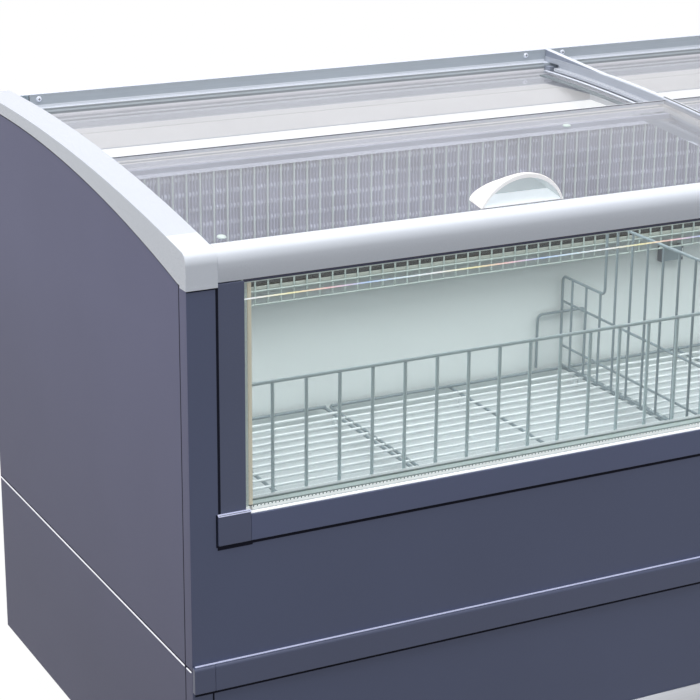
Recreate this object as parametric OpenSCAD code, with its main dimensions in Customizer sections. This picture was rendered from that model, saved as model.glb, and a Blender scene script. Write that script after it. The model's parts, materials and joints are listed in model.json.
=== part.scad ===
// Glass-topped chest freezer for a shop floor: an insulated tub with a front window, curved lids that
// slide back over fixed rear panes, wire racks inside and a refrigeration bay below.
// X runs along the cabinet, Y to the rear, Z up. The origin is on the floor under the middle.

/* [Cabinet] */
// Length between the outer faces of the end panels
cabinet_l = 1910; // [1700:10:2300]
// Depth between the front and rear panel faces
cabinet_d = 740; // [710:5:800]
// Height of the front rail's top above the floor
cabinet_h = 870; // [840:5:920]
// Height of the feet
foot_h = 80; // [60:1:110]
// Radius of a foot pad
foot_r = 28; // [20:1:40]
// Thickness of the painted panels
panel_t = 2; // [1.5:0.5:3]
// Thickness of the base plate
base_t = 4; // [3:0.5:8]
// Clear height of the machine bay
machine_h = 226; // [215:1:260]

/* [Front] */
// Height of the lower front panel
lower_front_h = 223; // [200:1:260]
// Height of the waist trim
trim_h = 35; // [25:1:50]
// How far the waist trim stands out
trim_proud = 8; // [4:0.5:9]
// Height of the upper front panel
upper_front_h = 156; // [130:1:180]
// Height of the window sill
sill_h = 35; // [28:1:45]
// Width of the upper corner posts
post_w = 39; // [34:1:48]
// Width of the lower corner posts
lower_post_w = 28; // [20:1:40]
// How far the posts return along the ends
post_return = 22; // [20:1:45]
// Height of the end panels' seam below the waist trim's top
seam_drop = 8; // [4:1:20]
// Height of the gap at the end panels' seam
seam_gap = 1; // [0.6:0.2:2]
// Height of the bumper rail
bumper_h = 45; // [30:1:60]
// Height of the bumper rail above the panels' lower edge
bumper_lift = 15; // [5:1:60]
// How far the bumper rail stands out
bumper_proud = 10; // [9.5:0.5:16]

/* [Window] */
// Thickness of the window panes
pane_t = 5; // [4:0.5:6]
// Space between the window panes
air_gap = 18; // [12:1:20]
// Distance of the outer pane behind the panel faces
pane_inset = 4; // [3:0.5:6]
// How deep the panes sit in their frame
pane_seat = 10; // [6:1:12]
// Clearance round a seated pane
pane_fit = 0.25; // [0.1:0.05:0.5]
// Depth of the window frame
frame_d = 40; // [38:1:44]
// Width of the window uprights
upright_w = 36; // [28:1:44]
// Width of the sill's corner blocks
block_w = 41; // [38:1:60]
// How far the corner blocks stand out
block_proud = 4; // [3:0.5:5]
// How far the corner blocks' faces lap over the posts
block_lap = 3; // [1:0.5:6]
// How far the corner blocks' faces rise above the sill
block_rise = 5.5; // [1:0.5:8]
// How far the sill stands out
sill_proud = 3; // [2:0.5:4]
// Width of the window spacer
spacer_w = 6; // [4:0.5:9]
// Distance of the upright spacer from the window's edge
spacer_inset = 2; // [1:0.5:5]

/* [Top] */
// Radius of the end caps' curved top
lid_arc_r = 4050; // [3600:50:4600]
// Distance of the curve's highest line from the rear face
apex_back = 62; // [40:1:90]
// Radius of the end caps' curved lower edge
cap_low_r = 2700; // [2500:50:3000]
// Height of the end caps at the rear
cap_rear_h = 17; // [14:1:24]
// Width of the end caps
cap_w = 40; // [36:1:46]
// How far the end caps stand out
cap_proud = 1; // [0.5:0.5:3]
// Radius of the end caps' nose
nose_r = 18; // [12:1:20]
// Height of the front rail's upright face
rail_face_h = 24; // [18:1:32]
// Radius of the front rail's round top
rail_r = 20; // [19:0.5:22]
// How far the front rail stands out
rail_proud = 2; // [0:0.5:4]
// Depth of the rear rail
rear_rail_d = 52; // [46:1:60]
// Thickness of the rear rail's upstand
rear_lip_t = 9; // [6:1:12]
// Depth of the rear rail's seat under the rear panes
rear_seat_d = 26; // [12:1:30]
// Height of the rear rail's ledge above its seat
rear_ledge_h = 19; // [14:0.5:21]
// Height of the rear rail's upstand
rear_lip_h = 19; // [14:1:26]

/* [Lids] */
// Depth of a lid from front to rear
lid_d = 352; // [320:2:370]
// How far a lid's glass lies below the end caps' top
lid_drop = 20; // [16:1:26]
// Thickness of the lids' and rear panes' glass
glass_t = 5; // [4:0.5:6]
// Height of the bars under a lid's glass
lid_bar_h = 6; // [5:0.5:9]
// Width of a lid's side bars
lid_side_w = 12; // [8:1:18]
// Depth of a lid's rear bar
lid_rear_w = 18; // [12:1:26]
// Depth of a lid's front bar
lid_front_w = 14; // [10:1:20]
// Gap between a lid and what is beside it
lid_gap = 1; // [0.6:0.1:1.6]
// Running gap under a lid
glide_gap = 0.3; // [0.2:0.05:0.5]
// Thickness of the tracks' ledges
ledge_t = 5; // [4:0.5:7]
// Width of the tracks' ledges
ledge_w = 9; // [7:0.5:11]
// Thickness of the tracks' back plates
track_t = 3; // [2:0.5:4]
// Space between a track's ledge and the rear pane under it
pane_slack = 1.7; // [1:0.1:3]
// Height of the rear panes' seals
seal_h = 3; // [2:0.5:5]
// Width of the rear panes' seals
seal_w = 11; // [9:1:14]
// How far a lid overlaps its rear pane
lid_overlap = 30; // [24:1:45]
// Width of the mullion's web
mullion_w = 12; // [8:1:16]
// Depth of the mullion's web below the lids' tracks
mullion_drop = 14; // [8:1:30]
// Width of a lid handle
handle_w = 124; // [100:2:150]
// Height of a lid handle at its front
handle_h = 42; // [34:1:48]
// Height of a lid handle at its rear
handle_rear_h = 27; // [20:1:32]
// Depth of a lid handle
handle_d = 34; // [26:1:44]
// Wall of a lid handle
handle_wall = 4; // [3:0.5:5]
// Distance of a lid handle from the lid's front edge
handle_inset = 24; // [16:1:40]
// Distance of a lid handle from the lid's middle, towards the mullion
handle_off = 4; // [0:0.5:20]

/* [Tub] */
// Thickness of the ends' insulation
end_foam_t = 53; // [50:1:70]
// Thickness of the front insulation
front_foam_t = 46; // [44:1:55]
// Thickness of the rear insulation
rear_foam_t = 91; // [70:1:100]
// Thickness of the floor insulation
floor_foam_t = 58; // [45:1:70]
// Thickness of the liners
liner_t = 2; // [1.5:0.5:3]

/* [Evaporator] */
// Depth of the evaporator space in front of the rear liner
evap_d = 47; // [44:1:60]
// Depth of the fin pack
fin_d = 36; // [28:1:37]
// Height of the fin pack
fin_h = 165; // [150:5:180]
// Space between the fin pack and the end liners
fin_end_gap = 45; // [40:1:60]
// Number of tube rows
tube_rows = 7; // [5:2:7]
// Distance between tube rows
tube_pitch = 24; // [20:1:25]
// Outer radius of the evaporator's tubes
tube_r = 5; // [4:0.5:6]
// Distance of the drip tray below the fin pack
tray_drop = 27; // [15:1:30]
// Height of the drip tray's front lip
tray_lip = 5.5; // [5:0.5:12]
// Fall of the evaporator cover's top
cover_fall = 13; // [4:1:20]
// Height of the evaporator cover's nose
nose_h = 51; // [45:1:65]
// Height of the wire guard
guard_h = 227; // [200:1:235]
// How far the guard reaches up behind the nose
guard_lap = 11; // [6:1:20]
// Distance between the guard's wires
guard_pitch = 22; // [20:1:30]
// Thickness of the guard's wires
guard_wire = 3; // [2.5:0.5:4]
// Distance of the guard's cross wires from its lower end
guard_row = 23; // [12:1:24]

/* [Wire racks] */
// Height of the floor racks' top above the liner floor
rack_stand = 30; // [24:1:45]
// Number of floor racks and of guard panels
rack_count = 4; // [3:1:5]
// Gap between floor racks and round them
rack_gap = 2; // [1:0.5:4]
// Thickness of the racks', fence's and divider's wires
wire = 5; // [4:0.5:6]
// Distance between the floor racks' wires
rack_pitch = 26; // [22:1:34]
// Radius of the racks' legs
leg_r = 3; // [2:0.5:4]
// Height of the front fence
fence_h = 268; // [220:2:290]
// Distance between the fence's wires
fence_pitch = 47; // [40:1:60]
// Height of the divider's tall part
divider_h = 277; // [240:1:285]
// Height of the divider's low rear part
divider_low_h = 158; // [130:1:180]
// Length of the divider's low rear part
divider_low_l = 125; // [90:1:140]
// Distance between the divider's upright wires
divider_pitch = 42; // [36:1:60]
// Heights of the divider's lower cross wires
divider_rows = [36, 112];
// Place of the divider along the cabinet, from its middle
divider_x = -13; // [-100:1:100]
// Width of the divider's loop foot
loop_w = 94; // [70:2:120]
// Height of the divider's loop foot
loop_h = 94; // [70:1:100]
// Running gap round the divider
divider_gap = 0.3; // [0.2:0.1:0.6]
// Distance of the divider's ends from the fence and the rear liner
divider_end_gap = 4; // [3:0.5:8]
// Width of the thermometer holder
holder_w = 40; // [32:1:70]
// Height of the thermometer holder
holder_h = 24; // [18:1:33]
// Distance of the thermometer holder from the middle of the cabinet
holder_x = 181; // [150:1:300]
// Distance of the thermometer holder below the wire guard
holder_z = 9.51; // [4:0.01:40]
// Depth of the thermometer holder
holder_d = 12; // [8:1:14]

/* [Machine bay] */
// Radius of the compressor
compressor_r = 90; // [75:1:95]
// Height of the compressor's can
compressor_h = 176; // [150:1:180]
// Height of the compressor's rubber mounts
mount_h = 16; // [10:1:22]
// Distance of the compressor from the right end
compressor_in = 390; // [385:5:420]
// Thickness of the condenser coil
condenser_t = 60; // [40:1:80]
// Width of the condenser coil
condenser_w = 300; // [260:5:320]
// Height of the condenser coil
condenser_h = 208; // [200:1:212]
// Distance of the compressor behind the middle of the bay
compressor_back = 60; // [40:1:70]
// Distance of the condenser coil from the right end
condenser_in = 810; // [800:5:840]
// Radius of the fan
fan_r = 86; // [78:1:88]
// Gap between the fan and its shroud
fan_gap = 6; // [3:0.5:8]
// Depth of the fan shroud
shroud_d = 52; // [44:1:60]
// Radius of the fan's shaft
shaft_r = 4; // [3:0.5:5]
// Running clearance of shafts
shaft_gap = 0.05; // [0.03:0.01:0.08]
// Radius of the fan motor
motor_r = 36; // [28:1:42]
// Length of the fan motor
motor_l = 60; // [45:1:70]
// Number of fan blades
blade_count = 5; // [4:1:7]
// Length of the control box
control_l = 180; // [160:2:200]
// Depth of the control box
control_d = 88; // [70:1:100]
// Height of the control box
control_h = 176; // [160:1:190]
// Depth of the control box's face behind the rear face
control_inset = 30; // [26:1:40]
// Distance of the control box from the right frame upright
control_in = 88; // [80:1:110]
// Distance of the thermostat knob from the control box's left side
knob_in = 50; // [40:1:55]
// Distance of the power switch from the control box's left side
switch_in = 120; // [110:1:130]
// Height of the knob and the switch in the control box
knob_up = 116; // [100:1:125]
// Height of the mains lead's gland in the control box
inlet_up = 40; // [30:1:50]
// Radius of the thermostat knob
knob_r = 19; // [14:1:24]
// Length of the thermostat knob
knob_l = 20; // [14:1:22]
// Outer radius of the drain tube
drain_r = 12; // [9:0.5:14]
// Wall of the drain tube
drain_wall = 2.5; // [1.5:0.5:3]
// Length of the drain pan
pan_l = 320; // [240:10:340]
// Depth of the drain pan
pan_d = 240; // [200:10:280]
// Height of the drain pan
pan_h = 32; // [24:1:45]
// Distance of the drain pan from the condenser coil
pan_in = 60; // [40:5:80]
// Wall of the drain pan
pan_wall = 2; // [1.5:0.5:3]
// Outer radius of the suction line
suction_r = 6; // [5:0.5:8]
// Distance of the suction line from the right end liner
suction_in = 33; // [28:1:36]
// Distance of the suction line from the rear panel
suction_back = 43; // [38:1:48]
// Outer radius of the discharge line
discharge_r = 4; // [3:0.5:6]
// Clearance of lines and tubes in the insulation
line_gap = 2; // [1:0.5:4]
// Height of the grille's slots
slot_h = 6; // [4:0.5:9]
// Distance between the grille's slots
slot_pitch = 16; // [14:1:24]
// Width of the frame uprights
frame_w = 40; // [30:1:50]

/* [Hidden] */
$fn = 48;
arc_fn = 720;
end_x = cabinet_l / 2;
front_y = (bumper_proud - cabinet_d) / 2;
rear_y = front_y + cabinet_d;
base_z = foot_h;
bay_z = base_z + base_t;
foam_z = bay_z + machine_h;
trim_z = base_z + lower_front_h;
upper_z = trim_z + trim_h;
seam_z = upper_z - seam_drop;
sill_z = upper_z + upper_front_h;
window_z = sill_z + sill_h;
rail_top = cabinet_h;
rail_cz = rail_top - rail_r;
rail_z = rail_cz - rail_face_h;
window_h = rail_z - window_z;
rail_d = 2 * rail_r - rail_proud;

// The curved top: every curved piece turns about one axis far below the cabinet
arc_y = rear_y - apex_back;
arc_reach = arc_y - front_y - rail_r;
arc_top = rail_top + lid_arc_r - sqrt(lid_arc_r * lid_arc_r - arc_reach * arc_reach);
arc_cz = arc_top - lid_arc_r;
cap_low_top = arc_top - cap_rear_h;

// Depths below the caps' top, from the lid's glass down to the tub's top
lid_under = lid_drop + glass_t;
bar_under = lid_under + lid_bar_h;
ledge_a = bar_under + glide_gap;
pane_top = ledge_a + ledge_t + pane_slack;
pane_under = pane_top + glass_t;
ledge_b = pane_under + seal_h;
tub_under = ledge_b + ledge_t;
web_under = tub_under + mullion_drop;

rear_seat_z = arc_top - ledge_b - glide_gap;
rear_rail_z = rear_seat_z - ledge_t - 2 * liner_t;
rear_ledge_z = rear_seat_z + rear_ledge_h;
rear_lip_z = rear_ledge_z + rear_lip_h;
rear_rail_y = rear_y - rear_rail_d;
rear_ledge_y = rear_rail_y + rear_seat_d;
track_y0 = front_y + frame_d;
track_y1 = rear_rail_y - glide_gap;
track_x = cap_w + track_t;
lid_x0 = end_x - track_x - lid_gap;
lid_x1 = mullion_w / 2 + lid_gap;
lid_y0 = front_y + rail_d + 2 * lid_gap;
lid_y1 = lid_y0 + lid_d;
pane_y0 = lid_y1 - lid_overlap;
pane_y1 = rear_ledge_y - pane_fit;
handle_y = lid_y0 + handle_inset;
handle_x = (lid_x0 + lid_x1) / 2 - handle_off;
handle_tilt = asin((arc_y - handle_y - handle_d / 2) / lid_arc_r);

// The tub's inner faces
in_x = end_x - panel_t - end_foam_t - liner_t;
front_in = front_y + panel_t + front_foam_t + liner_t;
rear_in = rear_y - panel_t - rear_foam_t - liner_t;
liner_z = foam_z + floor_foam_t;
floor_z = liner_z + liner_t;
rack_z = floor_z + rack_stand;

// Window frame places, measured from the middle of the cabinet
post_x = end_x - post_w;
window_x = post_x - upright_w;
block_x = post_x - block_w;
inner_pane = pane_inset + pane_t + air_gap;
groove_d = inner_pane + pane_t - pane_inset;

nose_y = rear_in - evap_d;
guard_y = nose_y + liner_t;
fin_y1 = guard_y + guard_wire + liner_t + fin_d;
fin_x = in_x - fin_end_gap;
nose_top = rear_rail_z + liner_t - cover_fall;
nose_z = nose_top - nose_h;
fin_z = nose_z - fin_h;
tray_z = fin_z - tray_drop;
guard_z = nose_z + guard_lap - guard_h;
tube_z0 = fin_z + (fin_h - (tube_rows - 1) * tube_pitch) / 2;
tube_y = fin_y1 - fin_d / 2;

rack_y0 = front_in + rack_gap;
rack_d = rear_in - front_in - 2 * rack_gap;
rack_l = (2 * in_x - (rack_count + 1) * rack_gap) / rack_count;
fence_y = rack_y0 + rack_pitch;
divider_y0 = fence_y + wire + divider_end_gap;
divider_y1 = rear_in - divider_end_gap;

// Machine bay places, measured from the right end
compressor_x = end_x - compressor_in;
compressor_y = front_y + cabinet_d / 2 + compressor_back;
condenser_x = end_x - condenser_in;
fan_x = condenser_x + condenser_t;
fan_z = bay_z + condenser_h / 2;
bay_y = front_y + cabinet_d / 2;
control_x = end_x - panel_t - frame_w - control_in - control_l;
control_y = rear_y - control_inset;
knob_x = control_x + knob_in;
switch_x = control_x + switch_in;
knob_z = bay_z + knob_up;
inlet_z = bay_z + inlet_up;
pan_x = condenser_x - pan_in - pan_l;
drain_x = pan_x + pan_l / 2;
suction_x = in_x - suction_in;
suction_y = rear_y - panel_t - suction_back;

// A box between two corners
module block(x, y, z) {
    translate([x[0], y[0], z[0]])
        cube([x[1] - x[0], y[1] - y[0], z[1] - z[0]]);
}

// An outline in Y and Z, run along X
module along_x(x0, x1) {
    translate([x0, 0, 0])
        rotate([90, 0, 90])
            linear_extrude(x1 - x0)
                children();
}

// An outline in X and Z, run along Y
module along_y(y0, y1) {
    translate([0, y1, 0])
        rotate([90, 0, 0])
            linear_extrude(y1 - y0)
                children();
}

// What is drawn at the left end, at the left or the right end
module at_end(side) {
    if (side < 0)
        children();
    else
        mirror([1, 0, 0])
            children();
}

module both_ends() {
    at_end(-1)
        children();
    at_end(1)
        children();
}

// A rectangle between two corners
module area(a, b) {
    translate([a[0], b[0]])
        square([a[1] - a[0], b[1] - b[0]]);
}

// The disc under the curved top, lowered by a depth
module top_disc(depth) {
    translate([arc_y, arc_cz])
        circle(r = lid_arc_r - depth, $fn = arc_fn);
}

// A curved strip between two depths below the caps' top
module strip(depth0, depth1, y0, y1) {
    intersection() {
        difference() {
            top_disc(depth0);
            top_disc(depth1);
        }
        area([y0, y1], [foot_h, arc_top + lid_drop]);
    }
}

// A grid of wires: a plate with one gap for each cell
module wire_grid(xs, zs, w) {
    difference() {
        area([xs[0] - w / 2, xs[len(xs) - 1] + w / 2], [zs[0] - w / 2, zs[len(zs) - 1] + w / 2]);
        for (i = [0 : len(xs) - 2], k = [0 : len(zs) - 2])
            area([xs[i] + w / 2, xs[i + 1] - w / 2], [zs[k] + w / 2, zs[k + 1] - w / 2]);
    }
}

// Evenly spaced places from one end to the other, about one pitch apart
function spread(a, b, pitch) = share(a, b, round((b - a) / pitch));
function share(a, b, n) = [for (i = [0 : n]) a + i * (b - a) / n];

// A round pipe through a list of points, with ball corners
module pipe(points, r) {
    for (i = [0 : len(points) - 2])
        pipe_run(points[i], points[i + 1], r);
    for (i = [1 : len(points) - 2])
        translate(points[i])
            sphere(r);
}

module pipe_run(a, b, r) {
    d = b - a;
    translate(a)
        rotate([0, acos(d[2] / norm(d)), atan2(d[1], d[0])])
            cylinder(r = r, h = norm(d));
}

module base_plate() {
    color("dimgray")
        block([-end_x + panel_t, end_x - panel_t], [front_y + panel_t, rear_y - panel_t], [base_z, bay_z]);
}

module feet() {
    color([0.12, 0.12, 0.13])
        for (x = [-1, 1], y = [front_y + 2 * foot_r, rear_y - 2 * foot_r])
            translate([x * (end_x - 3 * foot_r), y, 0]) {
                cylinder(r = foot_r, h = foot_h / 6);
                cylinder(r = foot_r / 2, h = foot_h);
            }
}

module frame_uprights() {
    color("slategray")
        for (x = [-end_x + panel_t, -frame_w / 2, end_x - panel_t - frame_w],
             y = [front_y + post_return + panel_t, rear_y - panel_t - frame_w])
            block([x, x + frame_w], [y, y + frame_w], [bay_z, foam_z]);
}

// The tub's top edge at the ends, in Y and Z
module tub_top() {
    area([front_y - nose_r, front_y + frame_d], [0, rail_z]);
    intersection() {
        top_disc(tub_under);
        area([front_y + frame_d, rear_rail_y], [0, arc_top]);
    }
    area([rear_rail_y, rear_y + nose_r], [0, rear_rail_z]);
}

module insulation() {
    color([0.93, 0.87, 0.66]) {
        floor_foam();
        front_foam();
        rear_foam();
        both_ends()
            end_foam();
    }
}

module floor_foam() {
    difference() {
        block([-end_x + panel_t, end_x - panel_t], [front_y + panel_t, rear_y - panel_t],
            [foam_z, liner_z]);
        translate([drain_x, bay_y, foam_z - 1])
            cylinder(r = drain_r + line_gap, h = floor_foam_t + 2);
        translate([suction_x, suction_y, foam_z - 1])
            cylinder(r = suction_r + line_gap, h = floor_foam_t + 2);
    }
}

module front_foam() {
    foam_y = front_in - liner_t;
    along_x(-in_x, in_x)
        polygon([[front_y + panel_t, liner_z], [foam_y, liner_z], [foam_y, window_z - liner_t],
            [front_y + frame_d, window_z - liner_t], [front_y + frame_d, sill_z],
            [front_y + panel_t, sill_z]]);
}

module rear_foam() {
    difference() {
        block([-in_x - liner_t, in_x + liner_t], [rear_in + liner_t, rear_y - panel_t],
            [liner_z, rear_rail_z]);
        translate([suction_x, suction_y, liner_z - 1])
            cylinder(r = suction_r + line_gap, h = suction_z() - liner_z + suction_r + line_gap + 1);
        translate([suction_x, suction_y, suction_z()])
            rotate([90, 0, 0])
                cylinder(r = suction_r + line_gap, h = suction_y - rear_in);
    }
}

module end_foam() {
    foam_x = -end_x + panel_t + end_foam_t;
    intersection() {
        translate([0, 0, liner_z])
            linear_extrude(arc_top - liner_z)
                polygon([[-end_x + panel_t, front_y + panel_t], [-post_x, front_y + panel_t],
                    [-post_x, front_y + frame_d], [foam_x, front_y + frame_d],
                    [foam_x, rear_y - panel_t], [-end_x + panel_t, rear_y - panel_t]]);
        along_x(-end_x, -in_x)
            tub_top();
    }
}

module liner_floor() {
    color([0.84, 0.89, 0.88])
        difference() {
            along_x(-in_x, in_x)
                polygon([[front_y + frame_d, window_z - liner_t], [front_y + frame_d, window_z],
                    [front_in, window_z], [front_in, floor_z], [rear_in, floor_z], [rear_in, liner_z],
                    [front_in - liner_t, liner_z], [front_in - liner_t, window_z - liner_t]]);
            translate([drain_x, bay_y, liner_z - 1])
                cylinder(r = drain_r + pane_fit, h = liner_t + 2);
        }
}

module liner_rear() {
    top = rear_rail_z + liner_t;
    color([0.84, 0.89, 0.88])
        difference() {
            along_x(-in_x, in_x)
                polygon([[rear_in, liner_z], [rear_in + liner_t, liner_z], [rear_in + liner_t, rear_rail_z],
                    [rear_rail_y, rear_rail_z], [rear_rail_y, top], [rear_in, top]]);
            translate([suction_x, rear_in + liner_t + 1, suction_z()])
                rotate([90, 0, 0])
                    cylinder(r = suction_r + line_gap, h = liner_t + 2);
        }
}

module liner_ends() {
    color([0.84, 0.89, 0.88])
        both_ends()
            intersection() {
                along_x(-in_x - liner_t, -in_x)
                    tub_top();
                block([-end_x, 0], [front_y + frame_d, rear_in + liner_t], [liner_z, arc_top]);
            }
}

module lower_front_panel() {
    x = end_x - lower_post_w;
    color([0.29, 0.31, 0.39])
        block([-x, x], [front_y, front_y + panel_t], [base_z, trim_z]);
}

// A corner post: a front plate and a side plate, each with its own lower and upper end
module angle_post(w, front_z, side_z) {
    block([-end_x, -end_x + w], [front_y, front_y + panel_t], front_z);
    block([-end_x, -end_x + panel_t], [front_y, front_y + post_return], side_z);
}

module lower_corner_posts() {
    color([0.29, 0.31, 0.39])
        both_ends()
            angle_post(lower_post_w, [base_z, trim_z], [base_z, seam_z - seam_gap / 2]);
}

module bumper_rail() {
    z0 = base_z + bumper_lift;
    bow = bumper_proud - panel_t;
    bow_r = (bow * bow + bumper_h * bumper_h / 4) / (2 * bow);
    color([0.86, 0.87, 0.89])
        along_x(-end_x, end_x) {
            area([front_y - panel_t, front_y], [z0, z0 + bumper_h]);
            intersection() {
                translate([front_y - bumper_proud + bow_r, z0 + bumper_h / 2])
                    circle(r = bow_r);
                area([front_y - bumper_proud, front_y], [z0, z0 + bumper_h]);
            }
        }
}

// The waist trim's outline in Y and Z, with a round upper edge
module trim_outline(rear) {
    edge = trim_proud / 2;
    y0 = front_y - trim_proud;
    area([y0, rear], [trim_z, upper_z - edge]);
    area([y0 + edge, rear], [trim_z, upper_z]);
    translate([y0 + edge, upper_z - edge])
        circle(r = edge);
}

module waist_trim() {
    x = end_x - lower_post_w;
    color([0.31, 0.33, 0.42])
        along_x(-x, x)
            trim_outline(front_y + panel_t);
}

module trim_end_blocks() {
    color([0.31, 0.33, 0.42])
        both_ends() {
            along_x(-end_x + panel_t, -end_x + lower_post_w)
                trim_outline(front_y + panel_t);
            along_x(-end_x, -end_x + panel_t)
                trim_outline(front_y);
        }
}

module upper_front_panel() {
    color([0.29, 0.31, 0.39])
        block([-post_x, post_x], [front_y, front_y + panel_t], [upper_z, sill_z]);
}

module corner_post(side) {
    color([0.29, 0.31, 0.39])
        at_end(side)
            angle_post(post_w, [upper_z, rail_z], [seam_z + seam_gap / 2, rail_z]);
}

module side_panel_lower(side) {
    color([0.38, 0.39, 0.46])
        at_end(side)
            block([-end_x, -end_x + panel_t], [front_y + post_return, rear_y],
                [base_z, seam_z - seam_gap / 2]);
}

// The area under the end caps' lower edge, in Y and Z
module panel_top() {
    area([front_y - nose_r, rear_y + nose_r], [0, rail_z]);
    translate([arc_y, cap_low_top - cap_low_r])
        circle(r = cap_low_r, $fn = arc_fn);
}

module side_panel_upper(side) {
    color([0.42, 0.42, 0.5])
        at_end(side)
            along_x(-end_x, -end_x + panel_t)
                intersection() {
                    panel_top();
                    area([front_y + post_return, rear_y], [seam_z + seam_gap / 2, arc_top]);
                }
}

module rear_panel() {
    color([0.75, 0.76, 0.78])
        block([-end_x + panel_t, end_x - panel_t], [rear_y - panel_t, rear_y], [foam_z, rear_rail_z]);
}

module rear_grille() {
    x = end_x - panel_t;
    slots = [for (z = spread(base_z + 2 * slot_pitch, foam_z - 2 * slot_pitch, slot_pitch)) z];
    bays = [[-x + frame_w + slot_pitch, -frame_w], [frame_w, control_x - frame_w]];
    color([0.3, 0.31, 0.33])
        along_y(rear_y - panel_t, rear_y)
            difference() {
                area([-x, x], [base_z, foam_z]);
                for (b = bays, z = slots)
                    area(b, [z - slot_h / 2, z + slot_h / 2]);
                area([control_x - pane_fit, control_x + control_l + pane_fit],
                    [bay_z, bay_z + control_h + pane_fit]);
            }
}

// The sill's outline in Y and Z, with the panes' grooves
module sill_outline(proud) {
    difference() {
        area([front_y - proud, front_y + frame_d], [sill_z, window_z]);
        for (y = [pane_inset, inner_pane])
            area([front_y + y - pane_fit, front_y + y + pane_t + pane_fit],
                [window_z - pane_seat, window_z + 1]);
    }
}

module window_sill() {
    color([0.3, 0.31, 0.4])
        along_x(-block_x, block_x)
            sill_outline(sill_proud);
}

module window_corner_blocks() {
    color([0.32, 0.33, 0.42])
        both_ends() {
            along_x(-post_x, -block_x)
                sill_outline(block_proud);
            block([-post_x - block_lap, -block_x], [front_y - block_proud, front_y],
                [sill_z, window_z + block_rise]);
        }
}

module window_uprights() {
    color([0.27, 0.28, 0.37])
        both_ends()
            translate([0, 0, window_z])
                linear_extrude(window_h)
                    difference() {
                        area([-post_x, -window_x], [front_y, front_y + frame_d]);
                        for (y = [pane_inset, inner_pane])
                            area([-window_x - pane_seat, -window_x + 1],
                                [front_y + y - pane_fit, front_y + y + pane_t + pane_fit]);
                    }
}

module window_panes() {
    x = window_x + pane_seat - pane_fit;
    color([0.75, 0.86, 0.85, 0.35])
        for (y = [pane_inset, inner_pane])
            block([-x, x], [front_y + y, front_y + y + pane_t],
                [window_z - pane_seat + pane_fit, rail_z + pane_seat - pane_fit]);
}

module window_spacer() {
    x = window_x - spacer_inset;
    y = [front_y + pane_inset + pane_t, front_y + inner_pane];
    color([0.74, 0.71, 0.64]) {
        for (side = [-1, 1])
            at_end(side)
                block([-x, -x + spacer_w], y, [window_z, rail_z]);
        block([-x + spacer_w, x - spacer_w], y, [window_z, window_z + spacer_w]);
        block([-x, x], y, [rail_z, rail_z + pane_seat - pane_fit]);
    }
}

module front_rail() {
    x = end_x - cap_w - pane_fit;
    y0 = front_y - rail_proud;
    color([0.92, 0.93, 0.95])
        along_x(-x, x)
            difference() {
                union() {
                    area([y0, y0 + 2 * rail_r], [rail_z, rail_cz]);
                    translate([y0 + rail_r, rail_cz])
                        circle(r = rail_r);
                }
                area([front_y + pane_inset - pane_fit, front_y + inner_pane + pane_t + pane_fit],
                    [rail_z - 1, rail_z + pane_seat]);
            }
}

// An end cap's outline in Y and Z, down to the floor
module cap_outline() {
    y0 = front_y - rail_proud;
    intersection() {
        top_disc(0);
        union() {
            area([y0 + nose_r, rear_y], [0, arc_top + 1]);
            area([y0, y0 + nose_r], [0, rail_top - nose_r]);
            translate([y0 + nose_r, rail_top - nose_r])
                circle(r = nose_r);
        }
    }
}

module end_cap(side) {
    color([0.95, 0.96, 0.98])
        at_end(side) {
            along_x(-end_x - cap_proud, -end_x + panel_t)
                difference() {
                    cap_outline();
                    panel_top();
                }
            along_x(-end_x + panel_t, -end_x + cap_w)
                difference() {
                    cap_outline();
                    tub_top();
                }
        }
}

module rear_rail() {
    x = end_x - cap_w - pane_fit;
    color([0.66, 0.7, 0.74])
        along_x(-x, x)
            polygon([[rear_rail_y, rear_rail_z], [rear_y, rear_rail_z], [rear_y, rear_lip_z],
                [rear_y - rear_lip_t, rear_lip_z], [rear_y - rear_lip_t, rear_ledge_z],
                [rear_ledge_y, rear_ledge_z], [rear_ledge_y, rear_seat_z], [rear_rail_y, rear_seat_z]]);
}

// The two ledges that carry a lid and a rear pane
module ledges(x0, x1) {
    along_x(x0, x1)
        strip(ledge_a, ledge_a + ledge_t, track_y0, track_y1);
    along_x(x0, x1)
        strip(ledge_b, tub_under, track_y0, track_y1);
}

module lid_track(side) {
    x = -end_x + cap_w;
    color([0.72, 0.75, 0.78])
        at_end(side) {
            along_x(x, x + track_t)
                strip(lid_drop, tub_under, track_y0, track_y1);
            ledges(x, x + track_t + ledge_w);
        }
}

module mullion() {
    w = mullion_w / 2;
    color([0.7, 0.73, 0.78]) {
        along_x(-w, w) {
            strip(lid_drop - lid_gap, web_under, front_y + rail_d, nose_y - divider_end_gap);
            strip(lid_drop - lid_gap, tub_under, front_y + rail_d, track_y1);
            intersection() {
                top_disc(lid_drop - lid_gap);
                area([track_y1 - 1, rear_y - rear_lip_t], [rear_ledge_z, arc_top]);
            }
        }
        ledges(-w - ledge_w, w + ledge_w);
    }
}

module rear_panes() {
    color([0.78, 0.87, 0.86, 0.3])
        both_ends()
            along_x(-lid_x0, -lid_x1)
                strip(pane_top, pane_under, pane_y0, pane_y1);
}

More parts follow.
